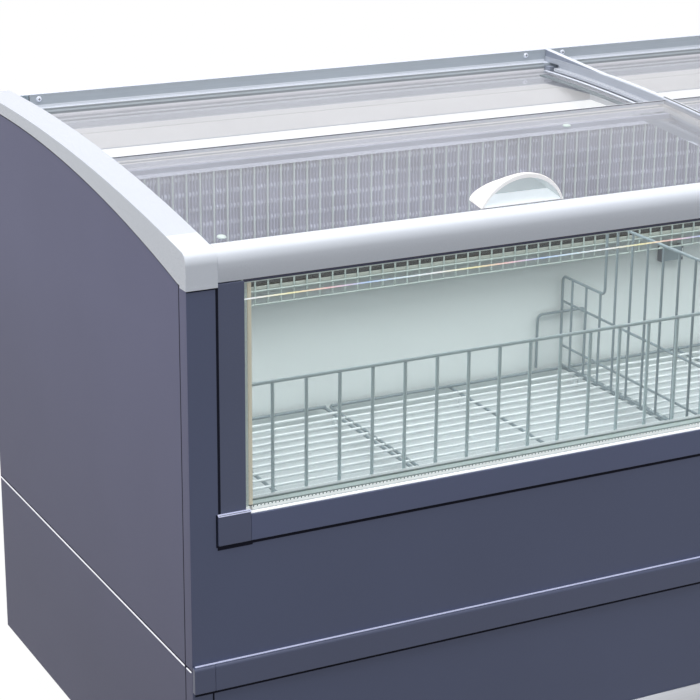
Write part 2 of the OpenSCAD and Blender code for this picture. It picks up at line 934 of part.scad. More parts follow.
// The seals under a rear pane's edges and the wiper on its front edge
module rear_pane_seals() {
    color([0.45, 0.48, 0.5])
        both_ends() {
            along_x(-lid_x0, -lid_x0 + seal_w)
                strip(pane_under, ledge_b, pane_y0, pane_y1);
            along_x(-lid_x1 - seal_w, -lid_x1)
                strip(pane_under, ledge_b, pane_y0, pane_y1);
            along_x(-lid_x0 + seal_w, -lid_x1 - seal_w)
                strip(pane_under, ledge_b, pane_y1 - seal_w, pane_y1);
            along_x(-lid_x0 + ledge_w, -lid_x1 - ledge_w)
                strip(bar_under + glide_gap, pane_top, pane_y0, pane_y0 + seal_w / 2);
        }
}

module lid_glass(side) {
    color([0.8, 0.88, 0.9, 0.3])
        at_end(side)
            along_x(-lid_x0, -lid_x1)
                strip(lid_drop, lid_under, lid_y0, lid_y1);
}

// Four bars under a lid's glass
module lid_frame(side) {
    color([0.8, 0.82, 0.84])
        at_end(side) {
            along_x(-lid_x0, -lid_x0 + lid_side_w)
                strip(lid_under, bar_under, lid_y0, lid_y1);
            along_x(-lid_x1 - lid_side_w, -lid_x1)
                strip(lid_under, bar_under, lid_y0, lid_y1);
            along_x(-lid_x0 + lid_side_w + pane_fit, -lid_x1 - lid_side_w - pane_fit) {
                strip(lid_under, bar_under, lid_y0, lid_y0 + lid_front_w);
                strip(lid_under, bar_under, lid_y1 - lid_rear_w, lid_y1);
            }
        }
}

// A segment of a circle on its chord, in X and Z
module half_moon(w, h) {
    r = (w * w / 4 + h * h) / (2 * h);
    intersection() {
        translate([0, h - r])
            circle(r = r, $fn = arc_fn / 4);
        area([-w / 2, w / 2], [0, h]);
    }
}

// A half-moon cup handle, open to the front
module lid_handle(side) {
    z = arc_cz + (lid_arc_r - lid_drop) * cos(handle_tilt);
    y = arc_y - (lid_arc_r - lid_drop) * sin(handle_tilt);
    t = handle_wall;
    color([0.96, 0.97, 0.98])
        at_end(side)
            translate([-handle_x, y, z])
                rotate([handle_tilt, 0, 0])
                    translate([0, -handle_d / 2, pane_fit / 4])
                        difference() {
                            intersection() {
                                along_y(0, handle_d)
                                    half_moon(handle_w, handle_h);
                                along_x(-handle_w, handle_w)
                                    polygon([[0, 0], [handle_d, 0], [handle_d, handle_rear_h],
                                        [0, handle_h]]);
                            }
                            intersection() {
                                along_y(-1, handle_d - t)
                                    translate([0, t])
                                        half_moon(handle_w - 3 * t, handle_h - 2 * t);
                                along_x(-handle_w, handle_w)
                                    polygon([[-1, t], [handle_d, t], [handle_d, handle_rear_h - t],
                                        [-1, handle_h - t]]);
                            }
                        }
}

module evaporator_cover() {
    color([0.97, 0.97, 0.97])
        along_x(-in_x, in_x)
            polygon([[rear_in, nose_top + cover_fall], [nose_y, nose_top], [nose_y, nose_z],
                [guard_y, nose_z], [guard_y, nose_top - liner_t],
                [rear_in, nose_top + cover_fall - liner_t]]);
}

// The tray under the fin pack, with a front lip
module drip_tray() {
    y = guard_y + guard_wire + glide_gap;
    color([0.9, 0.89, 0.82])
        along_x(-fin_x, fin_x)
            polygon([[y, tray_z], [rear_in, tray_z], [rear_in, tray_z + liner_t],
                [y + liner_t, tray_z + liner_t], [y + liner_t, tray_z + tray_lip], [y, tray_z + tray_lip]]);
}

module evaporator_fins() {
    color([0.62, 0.63, 0.7]) {
        block([-fin_x, fin_x], [fin_y1 - fin_d, fin_y1], [fin_z, nose_z]);
        both_ends()
            block([-fin_x - liner_t, -fin_x], [fin_y1 - fin_d, rear_in], [fin_z, nose_z]);
    }
}

// A return bend between two tube rows, outside the left end plate
module return_bend(row) {
    translate([-fin_x - liner_t, tube_y, tube_z0 + (row + 0.5) * tube_pitch])
        rotate([90, 90, 0])
            rotate_extrude(angle = -180)
                translate([tube_pitch / 2, 0])
                    circle(r = tube_r);
}

module evaporator_tubes() {
    color([0.75, 0.55, 0.4]) {
        for (row = [1 : 2 : tube_rows - 2])
            return_bend(row);
        mirror([1, 0, 0])
            for (row = [0 : 2 : tube_rows - 2])
                return_bend(row);
    }
}

// One panel of the guard: upright wires between cross wires, on two legs from the rear liner
module guard_panel(x0, x1) {
    w = guard_wire / 2;
    zs = [guard_z + w, guard_z + guard_row, guard_z + guard_h - w];
    along_y(guard_y, guard_y + guard_wire)
        wire_grid(spread(x0 + w, x1 - w, guard_pitch), zs, guard_wire);
    for (x = [x0, x1 - guard_wire])
        block([x, x + guard_wire], [guard_y + guard_wire, rear_in], [guard_z, guard_z + guard_wire]);
}

module wire_guard() {
    color([0.85, 0.87, 0.88])
        for (i = [0 : rack_count - 1])
            guard_panel(-in_x + rack_gap + i * (rack_l + rack_gap),
                -in_x + (i + 1) * (rack_l + rack_gap));
}

// One floor rack: lengthwise wires on three cross bars with legs
module floor_rack(x0) {
    xs = [x0 + wire / 2, x0 + rack_l / 2, x0 + rack_l - wire / 2];
    ys = concat([for (y = [rack_y0 + wire / 2 : rack_pitch : rack_y0 + rack_d - rack_pitch]) y],
        [rack_y0 + rack_d - wire / 2]);
    translate([0, 0, rack_z - wire])
        linear_extrude(wire)
            wire_grid(xs, ys, wire);
    for (x = xs) {
        block([x - wire / 2, x + wire / 2], [rack_y0, rack_y0 + rack_d],
            [rack_z - 2 * wire, rack_z - wire]);
        for (y = [rack_y0 + 2 * wire, rack_y0 + rack_d - 2 * wire])
            translate([x, y, floor_z])
                cylinder(r = leg_r, h = rack_stand - 2 * wire);
    }
}

module floor_racks() {
    color([0.62, 0.7, 0.7])
        for (i = [0 : rack_count - 1])
            floor_rack(-in_x + rack_gap + i * (rack_l + rack_gap));
}

module front_fence() {
    xs = spread(-in_x + wire, in_x - wire, fence_pitch);
    color([0.5, 0.58, 0.58])
        along_y(fence_y, fence_y + wire)
            wire_grid(xs, [rack_z + wire / 2, rack_z + fence_h - wire / 2], wire);
}

// The divider's outline in Y and Z: a tall front part and a low rear part
module divider_outline() {
    z = rack_z + divider_gap;
    step_y = divider_y1 - divider_low_l;
    rows = [for (h = divider_rows) z + h];
    wire_grid(spread(divider_y0 + wire / 2, step_y, divider_pitch),
        concat([z + wire / 2], rows, [z + divider_h - wire / 2]), wire);
    wire_grid(spread(step_y, divider_y1 - wire / 2, divider_pitch),
        concat([z + wire / 2], rows, [z + divider_low_h - wire / 2]), wire);
}

module wire_divider() {
    z = rack_z + divider_gap;
    color([0.5, 0.58, 0.58]) {
        along_x(divider_x - wire / 2, divider_x + wire / 2)
            divider_outline();
        along_y(divider_y1 - wire, divider_y1)
            wire_grid([divider_x - loop_w / 2, divider_x + loop_w / 2], [z + wire / 2, z + loop_h], wire);
    }
}

module thermometer_holder() {
    x = [holder_x, holder_x + holder_w];
    z = [guard_z - holder_z - holder_h, guard_z - holder_z];
    color([0.55, 0.63, 0.63]) {
        block(x, [rear_in - holder_d, rear_in - holder_d + liner_t], z);
        for (a = x)
            block([a - liner_t, a + liner_t], [rear_in - holder_d, rear_in], z);
    }
}

module compressor() {
    can_z = bay_z + mount_h + base_t;
    dome = compressor_r / 3;
    color([0.13, 0.13, 0.14])
        translate([compressor_x, compressor_y, 0]) {
            translate([0, 0, can_z])
                rotate_extrude()
                    polygon([[0, 0], [compressor_r - dome, 0], [compressor_r, dome],
                        [compressor_r, compressor_h - dome], [compressor_r - dome, compressor_h],
                        [0, compressor_h]]);
            block([-compressor_r, compressor_r], [-compressor_r, compressor_r], [can_z - base_t, can_z]);
            for (x = [-1, 1], y = [-1, 1])
                translate([x * (compressor_r - mount_h), y * (compressor_r - mount_h), bay_z])
                    cylinder(r = mount_h, h = mount_h);
        }
}

module condenser_coil() {
    y = condenser_w / 2;
    color([0.35, 0.36, 0.38])
        block([condenser_x, fan_x], [bay_y - y, bay_y + y], [bay_z, bay_z + condenser_h]);
}

// The fan's ring on its plate, with a cross bar that carries the motor
module fan_shroud() {
    y = condenser_w / 2;
    hole = fan_r + fan_gap;
    bar = motor_r / 2;
    color([0.2, 0.2, 0.21])
        difference() {
            union() {
                block([fan_x, fan_x + base_t], [bay_y - y, bay_y + y], [bay_z, bay_z + condenser_h]);
                translate([fan_x, bay_y, fan_z])
                    rotate([0, 90, 0])
                        difference() {
                            cylinder(r = hole + base_t, h = shroud_d);
                            translate([0, 0, -1])
                                cylinder(r = hole, h = shroud_d + 2);
                        }
                block([fan_x + shroud_d, fan_x + shroud_d + base_t],
                    [bay_y - hole - base_t, bay_y + hole + base_t], [fan_z - bar, fan_z + bar]);
            }
            translate([fan_x - 1, bay_y, fan_z])
                rotate([0, 90, 0])
                    cylinder(r = hole, h = shroud_d);
            translate([fan_x, bay_y, fan_z])
                rotate([0, 90, 0])
                    cylinder(r = 2 * shaft_r, h = shroud_d + 2 * base_t);
        }
}

module fan_motor() {
    color([0.55, 0.56, 0.58])
        translate([fan_x + shroud_d + base_t, bay_y, fan_z])
            rotate([0, 90, 0])
                difference() {
                    cylinder(r = motor_r, h = motor_l);
                    translate([0, 0, -1])
                        cylinder(r = shaft_r + shaft_gap, h = motor_l / 2 + 1);
                }
}

module condenser_fan() {
    hub_l = shroud_d / 2;
    hub_r = motor_r * 0.6;
    color([0.75, 0.76, 0.77])
        translate([fan_x + base_t + fan_gap, bay_y, fan_z])
            rotate([0, 90, 0]) {
                cylinder(r = hub_r, h = hub_l);
                cylinder(r = shaft_r, h = shroud_d - fan_gap + motor_l / 2 - base_t);
                intersection() {
                    cylinder(r = fan_r, h = hub_l);
                    for (i = [0 : blade_count - 1])
                        rotate([0, 0, i * 360 / blade_count])
                            translate([hub_r - base_t / 2, 0, hub_l / 2])
                                rotate([30, 0, 0])
                                    translate([0, -hub_l, -base_t / 4])
                                        cube([fan_r, 2 * hub_l, base_t / 2]);
                }
            }
}

// The control box, with the knob's bore, the switch's pocket and the mains lead's gland
module control_box() {
    color([0.82, 0.83, 0.84])
        difference() {
            union() {
                block([control_x, control_x + control_l], [control_y - control_d, control_y],
                    [bay_z, bay_z + control_h]);
                translate([switch_x, control_y, inlet_z])
                    rotate([-90, 0, 0])
                        cylinder(r = knob_r / 2, h = knob_l);
            }
            translate([knob_x, control_y + 1, knob_z])
                rotate([90, 0, 0])
                    cylinder(r = shaft_r + shaft_gap, h = control_d / 2 + 1);
            block([switch_x - knob_r, switch_x + knob_r], [control_y - knob_l, control_y + 1],
                [knob_z - 1.5 * knob_r, knob_z + 1.5 * knob_r]);
            translate([switch_x - knob_r - 2 * base_t, control_y - knob_l / 2, knob_z])
                rotate([0, 90, 0])
                    cylinder(r = shaft_r + shaft_gap, h = 2 * knob_r + 4 * base_t);
            translate([switch_x, control_y - knob_l, inlet_z])
                rotate([-90, 0, 0])
                    cylinder(r = knob_r / 4, h = 2 * knob_l + 1);
        }
}

module thermostat_knob() {
    color([0.1, 0.1, 0.11])
        translate([knob_x, control_y, knob_z])
            rotate([-90, 0, 0]) {
                translate([0, 0, glide_gap])
                    cylinder(r = knob_r, h = knob_l - glide_gap);
                translate([-base_t / 2, -knob_r, knob_l])
                    cube([base_t, 2 * knob_r, base_t / 2]);
                translate([0, 0, -control_d / 3])
                    cylinder(r = shaft_r, h = control_d / 3 + base_t);
            }
}

// A rocker that tilts about a lengthwise pin in the control box's pocket
module power_switch() {
    gap = 2 * glide_gap;
    rock_r = 1.5 * knob_r - gap;
    color([0.55, 0.12, 0.1])
        translate([switch_x, control_y, knob_z]) {
            along_x(-knob_r + gap, knob_r - gap)
                intersection() {
                    translate([-knob_l / 2, 0])
                        circle(r = rock_r);
                    polygon([[-knob_l / 2, -rock_r / 3], [base_t, -rock_r], [0, 0], [base_t, rock_r],
                        [-knob_l / 2, rock_r / 3], [-knob_l + gap, 0]]);
                }
            translate([-knob_r - base_t, -knob_l / 2, 0])
                rotate([0, 90, 0])
                    cylinder(r = shaft_r, h = 2 * knob_r + 2 * base_t);
        }
}

function suction_z() = tube_z0 + (tube_rows - 1) * tube_pitch;

// The discharge line to the condenser and the suction line from the evaporator
module refrigerant_lines() {
    z = bay_z + compressor_h - 2 * mount_h;
    side_y = bay_y + condenser_w / 2;
    run_y = side_y + 6 * discharge_r;
    turn_x = compressor_x - compressor_r - 6 * discharge_r;
    coil_x = condenser_x + condenser_t / 2;
    low_z = bay_z + compressor_h / 2;
    color([0.75, 0.5, 0.35]) {
        pipe([[compressor_x - compressor_r, compressor_y, z], [turn_x, compressor_y, z], [turn_x, run_y, z],
            [coil_x, run_y, z], [coil_x, side_y, z]], discharge_r);
        pipe([[compressor_x + compressor_r, compressor_y, low_z], [suction_x, compressor_y, low_z],
            [suction_x, suction_y, low_z], [suction_x, suction_y, suction_z()],
            [suction_x, tube_y, suction_z()], [fin_x + liner_t, tube_y, suction_z()]], suction_r);
    }
}

// The drain tube from the liner floor and the pan under it
module drain_set() {
    tube_end = bay_z + pan_h + pan_wall;
    color([0.7, 0.71, 0.72]) {
        translate([drain_x, bay_y, tube_end])
            difference() {
                cylinder(r = drain_r, h = floor_z - tube_end);
                translate([0, 0, -1])
                    cylinder(r = drain_r - drain_wall, h = floor_z - tube_end + 2);
            }
        difference() {
            block([pan_x, pan_x + pan_l], [bay_y - pan_d / 2, bay_y + pan_d / 2], [bay_z, bay_z + pan_h]);
            block([pan_x + pan_wall, pan_x + pan_l - pan_wall],
                [bay_y - pan_d / 2 + pan_wall, bay_y + pan_d / 2 - pan_wall],
                [bay_z + pan_wall, bay_z + pan_h + 1]);
        }
    }
}

base_plate();
feet();
frame_uprights();
insulation();
liner_floor();
liner_rear();
liner_ends();
lower_front_panel();
lower_corner_posts();
bumper_rail();
waist_trim();
trim_end_blocks();
upper_front_panel();
corner_post(-1);  // corner_post_left
corner_post(1);  // corner_post_right
side_panel_lower(-1);  // side_panel_lower_left
side_panel_lower(1);  // side_panel_lower_right
side_panel_upper(-1);  // side_panel_upper_left
side_panel_upper(1);  // side_panel_upper_right
rear_panel();
rear_grille();
window_sill();
window_corner_blocks();
window_uprights();
window_panes();
window_spacer();
front_rail();
end_cap(-1);  // end_cap_left
end_cap(1);  // end_cap_right
rear_rail();
lid_track(-1);  // lid_track_left
lid_track(1);  // lid_track_right
mullion();
rear_panes();
rear_pane_seals();
lid_glass(-1);  // lid_glass_left
lid_glass(1);  // lid_glass_right
lid_frame(-1);  // lid_frame_left
lid_frame(1);  // lid_frame_right
lid_handle(-1);  // lid_handle_left
lid_handle(1);  // lid_handle_right
evaporator_cover();
drip_tray();
evaporator_fins();
evaporator_tubes();
wire_guard();
floor_racks();
front_fence();
wire_divider();
thermometer_holder();
compressor();
condenser_coil();
fan_shroud();
fan_motor();
condenser_fan();
control_box();
thermostat_knob();
power_switch();
refrigerant_lines();
drain_set();
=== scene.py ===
"""Looks of a glass-topped chest freezer with sliding lids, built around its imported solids."""

import json
import logging
import math
from collections.abc import Callable, Sequence
from dataclasses import dataclass, field
from enum import Enum

import bmesh
import bpy
from mathutils import Matrix, Vector


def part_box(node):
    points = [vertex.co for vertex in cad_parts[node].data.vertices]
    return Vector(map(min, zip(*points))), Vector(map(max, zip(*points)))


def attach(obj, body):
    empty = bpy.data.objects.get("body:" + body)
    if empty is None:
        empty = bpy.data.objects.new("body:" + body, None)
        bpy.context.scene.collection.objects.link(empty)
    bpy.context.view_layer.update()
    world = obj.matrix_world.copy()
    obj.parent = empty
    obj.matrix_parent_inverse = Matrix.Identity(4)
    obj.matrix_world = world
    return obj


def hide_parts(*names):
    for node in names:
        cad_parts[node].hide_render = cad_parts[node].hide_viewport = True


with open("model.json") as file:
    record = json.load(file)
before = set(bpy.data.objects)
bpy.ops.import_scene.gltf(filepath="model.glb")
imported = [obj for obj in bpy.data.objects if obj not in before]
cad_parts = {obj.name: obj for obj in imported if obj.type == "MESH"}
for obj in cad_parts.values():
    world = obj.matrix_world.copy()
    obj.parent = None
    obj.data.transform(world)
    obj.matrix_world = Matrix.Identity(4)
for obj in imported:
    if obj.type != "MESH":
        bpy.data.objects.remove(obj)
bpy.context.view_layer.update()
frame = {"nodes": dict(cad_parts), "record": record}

LOG = logging.getLogger("freezer")
MM = 0.001
RECORD = frame["record"]
BODY_OF = {n: b for b, names in RECORD["behaviour"]["bodies"].items() for n in names}
SLOT_OF = {s["node"]: s["material_slot"] for s in RECORD["subparts"]}
CABINET = "cabinet"
SIDES = (("left", -1), ("right", 1))
SIGNS = (-1, 1)

# Edges past this angle, in degrees, stay sharp
SHARP = 35.0
# The arc that the caps, lids, tracks and panes follow, in millimetres
ARC_R, ARC_Y, ARC_Z = 4050.0, 313.0, -3126.190186
# The fine grain's share in a colour's mottle, and the depth of its relief in metres
GRAIN_SHARE, RELIEF = 0.45, 0.0004

Colour = tuple[float, float, float]
Flat = tuple[float, float]
Spot = tuple[float, float, float]
Node = bpy.types.Node
Item = bpy.types.Object


def plain(value: float) -> float:
    """A screen value from 0 to 255 as a share of light."""
    v = value / 255
    return v / 12.92 if v <= 0.04045 else ((v + 0.055) / 1.055) ** 2.4


def srgb(red: float, green: float, blue: float) -> Colour:
    """A colour given as it shows on a screen, as plain light."""
    return plain(red), plain(green), plain(blue)


def scaled(colour: Colour, share: float) -> tuple[float, float, float, float]:
    """A colour made darker or lighter, with full cover."""
    return (*(min(1.0, max(0.0, c * share)) for c in colour), 1.0)


class Grain(Enum):
    """Which way a finish's grain runs: one scale for each axis."""

    EVEN = (1.0, 1.0, 1.0)
    ALONG_X = (0.012, 1.0, 1.0)
    ALONG_Y = (1.0, 0.012, 1.0)
    ALONG_Z = (1.0, 1.0, 0.012)


class Nodes:
    """A node tree, filled in short calls."""

    family = "ShaderNode"
    start: Node | None = None

    def __init__(self, tree: bpy.types.NodeTree) -> None:
        """Empties a tree to fill it."""
        self.tree = tree
        self.tree.nodes.clear()

    def add(self, kind: str, links: dict[str | int, object] | None = None, **settings: object) -> Node:
        """Adds a node.

        Args:
            kind: Blender's name of the node, without the family's own first part.
            links: for each socket, by name or number, a node or a list of them, a socket, a value or the
                name of one of the tree's inputs.
            settings: the node's own settings.

        Returns:
            The node.
        """
        node = self.tree.nodes.new(kind if "Node" in kind else self.family + kind)
        for key, value in settings.items():
            setattr(node, key, value)
        for key, values in (links or {}).items():
            named = (s for s in node.inputs if s.name == key and s.enabled)
            socket = node.inputs[key] if isinstance(key, int) else next(named)
            for value in values if isinstance(values, list) else [values]:
                if isinstance(value, str):
                    value = self.start.outputs[value]
                elif isinstance(value, Node):
                    value = next(s for s in value.outputs if s.enabled)
                if isinstance(value, bpy.types.NodeSocket):
                    self.tree.links.new(value, socket)
                else:
                    socket.default_value = value
        return node

    def math(self, operation: str, *values: object) -> Node:
        """A sum, product or the like of values, nodes and sockets."""
        return self.add("ShaderNodeMath", dict(enumerate(values)), operation=operation)

    def mix(self, share: object, low: Node, high: Node) -> Node:
        """Two shaders mixed by a share."""
        return self.add("MixShader", {0: share, 1: low, 2: high})


class Graph(Nodes):
    """A material's nodes."""

    def __init__(self, name: str) -> None:
        """Starts an empty material.

        Args:
            name: the material's name.
        """
        self.material = bpy.data.materials.new(name)
        self.material.use_nodes = True
        super().__init__(self.material.node_tree)

    def close(self, shader: Node) -> bpy.types.Material:
        """Ends the material with its shader."""
        self.add("OutputMaterial", {"Surface": shader})
        return self.material

    def place(self, scale: Spot = (1.0, 1.0, 1.0)) -> Node:
        """Object coordinates with a scale for each axis."""
        return self.add("Mapping", {"Vector": self.add("TexCoord").outputs["Object"], "Scale": scale})

    def axis(self, name: str, scale: float = 1.0) -> bpy.types.NodeSocket:
        """One of the object coordinates, with a scale for X."""
        return self.add("SeparateXYZ", {"Vector": self.place((scale, 1.0, 1.0))}).outputs[name]

    def noise(self, where: Node, scale: float, detail: float) -> Node:
        """A noise pattern with some waves in a metre and some finer layers."""
        return self.add("TexNoise", {"Vector": where, "Scale": scale, "Detail": detail})

    def span(self, value: Node, low: float, high: float) -> Node:
        """A pattern's usual range stretched to another one."""
        limits = {"From Min": 0.3, "From Max": 0.7, "To Min": low, "To Max": high}
        return self.add("MapRange", {"Value": value, **limits})

    def ramp(self, value: object, stops: Sequence[tuple[float, Colour]]) -> Node:
        """Colours along a pattern.

        Args:
            value: the pattern.
            stops: places from 0 to 1 with their colours.

        Returns:
            The node with the colour.
        """
        node = self.add("ValToRGB", {0: value})
        band = node.color_ramp
        while len(band.elements) < len(stops):
            band.elements.new(1.0)
        for element, (place, colour) in zip(band.elements, stops):
            element.position = place
            element.color = scaled(colour, 1.0)
        return node


@dataclass(frozen=True)
class Look:
    """A finish with its name and main colour."""

    name: str
    colour: Colour

    def material(self) -> bpy.types.Material:
        """The finish as a material, made once."""
        return bpy.data.materials.get(self.name) or self.draw(Graph(self.name))

    def draw(self, graph: Graph) -> bpy.types.Material:
        """Lays the finish's nodes in an empty material."""
        raise NotImplementedError


@dataclass(frozen=True)
class Finish(Look):
    """An opaque finish: paint, plastic, metal, rubber or foam."""

    roughness: float = 0.42
    mottle: float = 0.05
    bump: float = 0.03
    grain: float = 700.0
    metallic: float = 0.0
    cloud: float = 5.0
    run: Grain = Grain.EVEN
    coat: float = 0.0
    # glow: emission in the finish's own colour, painted light on a part that is no lamp
    glow: float = 0.0
    shine: float = 0.5

    def shades(self, graph: Graph, value: Node, low: float, high: float) -> Node:
        """The colour's darker and lighter shades between two strengths of a pattern."""
        dark, light = (scaled(self.colour, 1 + m)[:3] for m in (-self.mottle, self.mottle))
        return graph.ramp(value, [(low, dark), (high, light)])

    def tone(self, graph: Graph, fine: Node) -> Node:
        """The colour over the surface: slow clouds with fine grain on them."""
        clouds = graph.math("MULTIPLY", graph.noise(graph.place(), self.cloud, 3.0), 1 - GRAIN_SHARE)
        return self.shades(graph, graph.math("MULTIPLY_ADD", fine, GRAIN_SHARE, clouds), 0.36, 0.64)

    def draw(self, graph: Graph) -> bpy.types.Material:
        """Lays the finish's nodes.

        Args:
            graph: an empty material.

        Returns:
            The finished material.
        """
        fine = graph.noise(graph.place(self.run.value), self.grain, 2.0)
        tone = self.tone(graph, fine)
        sockets = {
            "Base Color": tone, "Metallic": self.metallic, "Coat Weight": self.coat,
            "Specular IOR Level": self.shine,
            "Roughness": graph.span(fine, self.roughness - 0.05, self.roughness + 0.05),
            "Normal": graph.add("Bump", {"Strength": self.bump * 10, "Distance": RELIEF, "Height": fine})}
        if self.coat:
            sockets["Coat Roughness"] = 0.08
        # Painted light: the finish gives off light of its own colour.
        if self.glow:
            sockets |= {"Emission Color": tone, "Emission Strength": self.glow}
        return graph.close(graph.add("BsdfPrincipled", sockets))


@dataclass(frozen=True)
class Banded(Finish):
    """A finish whose colour changes along the length in even bands."""

    bands: tuple[Colour, ...] = ()
    period: float = 0.252
    start: float = 0.0

    def tone(self, graph: Graph, fine: Node) -> Node:
        """Colours that come round again along X, without the grain.

        Args:
            graph: the material's nodes.
            fine: the grain pattern; not used.

        Returns:
            The node with the colour.
        """
        turns = graph.math("SUBTRACT", graph.axis("X", 1 / self.period), self.start / self.period)
        stops = zip(shares(0.0, 1.0, len(self.bands) - 1), self.bands)
        return graph.ramp(graph.math("FLOORED_MODULO", turns, 1.0), list(stops))


@dataclass(frozen=True)
class Fading(Finish):
    """A finish that grows lighter or darker with height: painted shade on the ends and the rear liner."""

    fade: tuple[Flat, ...] = ()

    def tone(self, graph: Graph, fine: Node) -> Node:
        """The plain colour, more or less of it at each height."""
        shade = graph.ramp(graph.axis("Z"), [(z, (k, k, k)) for z, k in self.fade])
        return graph.add("MixRGB", {0: 1.0, 1: super().tone(graph, fine), 2: shade}, blend_type="MULTIPLY")


@dataclass(frozen=True)
class Streaked(Finish):
    """Sheet fins: each one a little lighter or darker than the next."""

    pitch: float = 0.0055

    def tone(self, graph: Graph, fine: Node) -> Node:
        """Streaks from fin to fin, without the grain."""
        streaks = graph.noise(graph.place((1.0, 0.05, 0.02)), 0.6 / self.pitch, 1.0)
        return self.shades(graph, streaks, 0.3, 0.7)


@dataclass(frozen=True)
class Glass(Look):
    """A clear pane: what is behind it shows, with a gloss that grows at a slant."""

    film: Colour = (0.8, 0.84, 0.86)
    haze: float = 0.03
    gloss: float = 1.0
    polish: float = 0.015
    index: float = 1.5

    def draw(self, graph: Graph) -> bpy.types.Material:
        """Lays the pane's nodes: clear body, faint film, gloss on its outer side.

        Args:
            graph: an empty material.

        Returns:
            The finished material.
        """
        clear = graph.add("BsdfTransparent", {"Color": scaled(self.colour, 1.0)})
        film = graph.add("BsdfDiffuse", {"Color": scaled(self.film, 1.0)})
        smear = graph.noise(graph.place(), 7.0, 5.0)
        body = graph.mix(graph.span(smear, self.haze * 0.6, self.haze * 1.4), clear, film)
        mirror = graph.add("BsdfGlossy", {"Color": (1.0, 1.0, 1.0, 1.0), "Roughness": self.polish})
        outer = graph.math("SUBTRACT", self.gloss, graph.add("NewGeometry").outputs["Backfacing"])
        outer.use_clamp = True
        share = graph.math("MULTIPLY", graph.add("Fresnel", {"IOR": self.index}), outer)
        return graph.close(graph.mix(share, body, mirror))


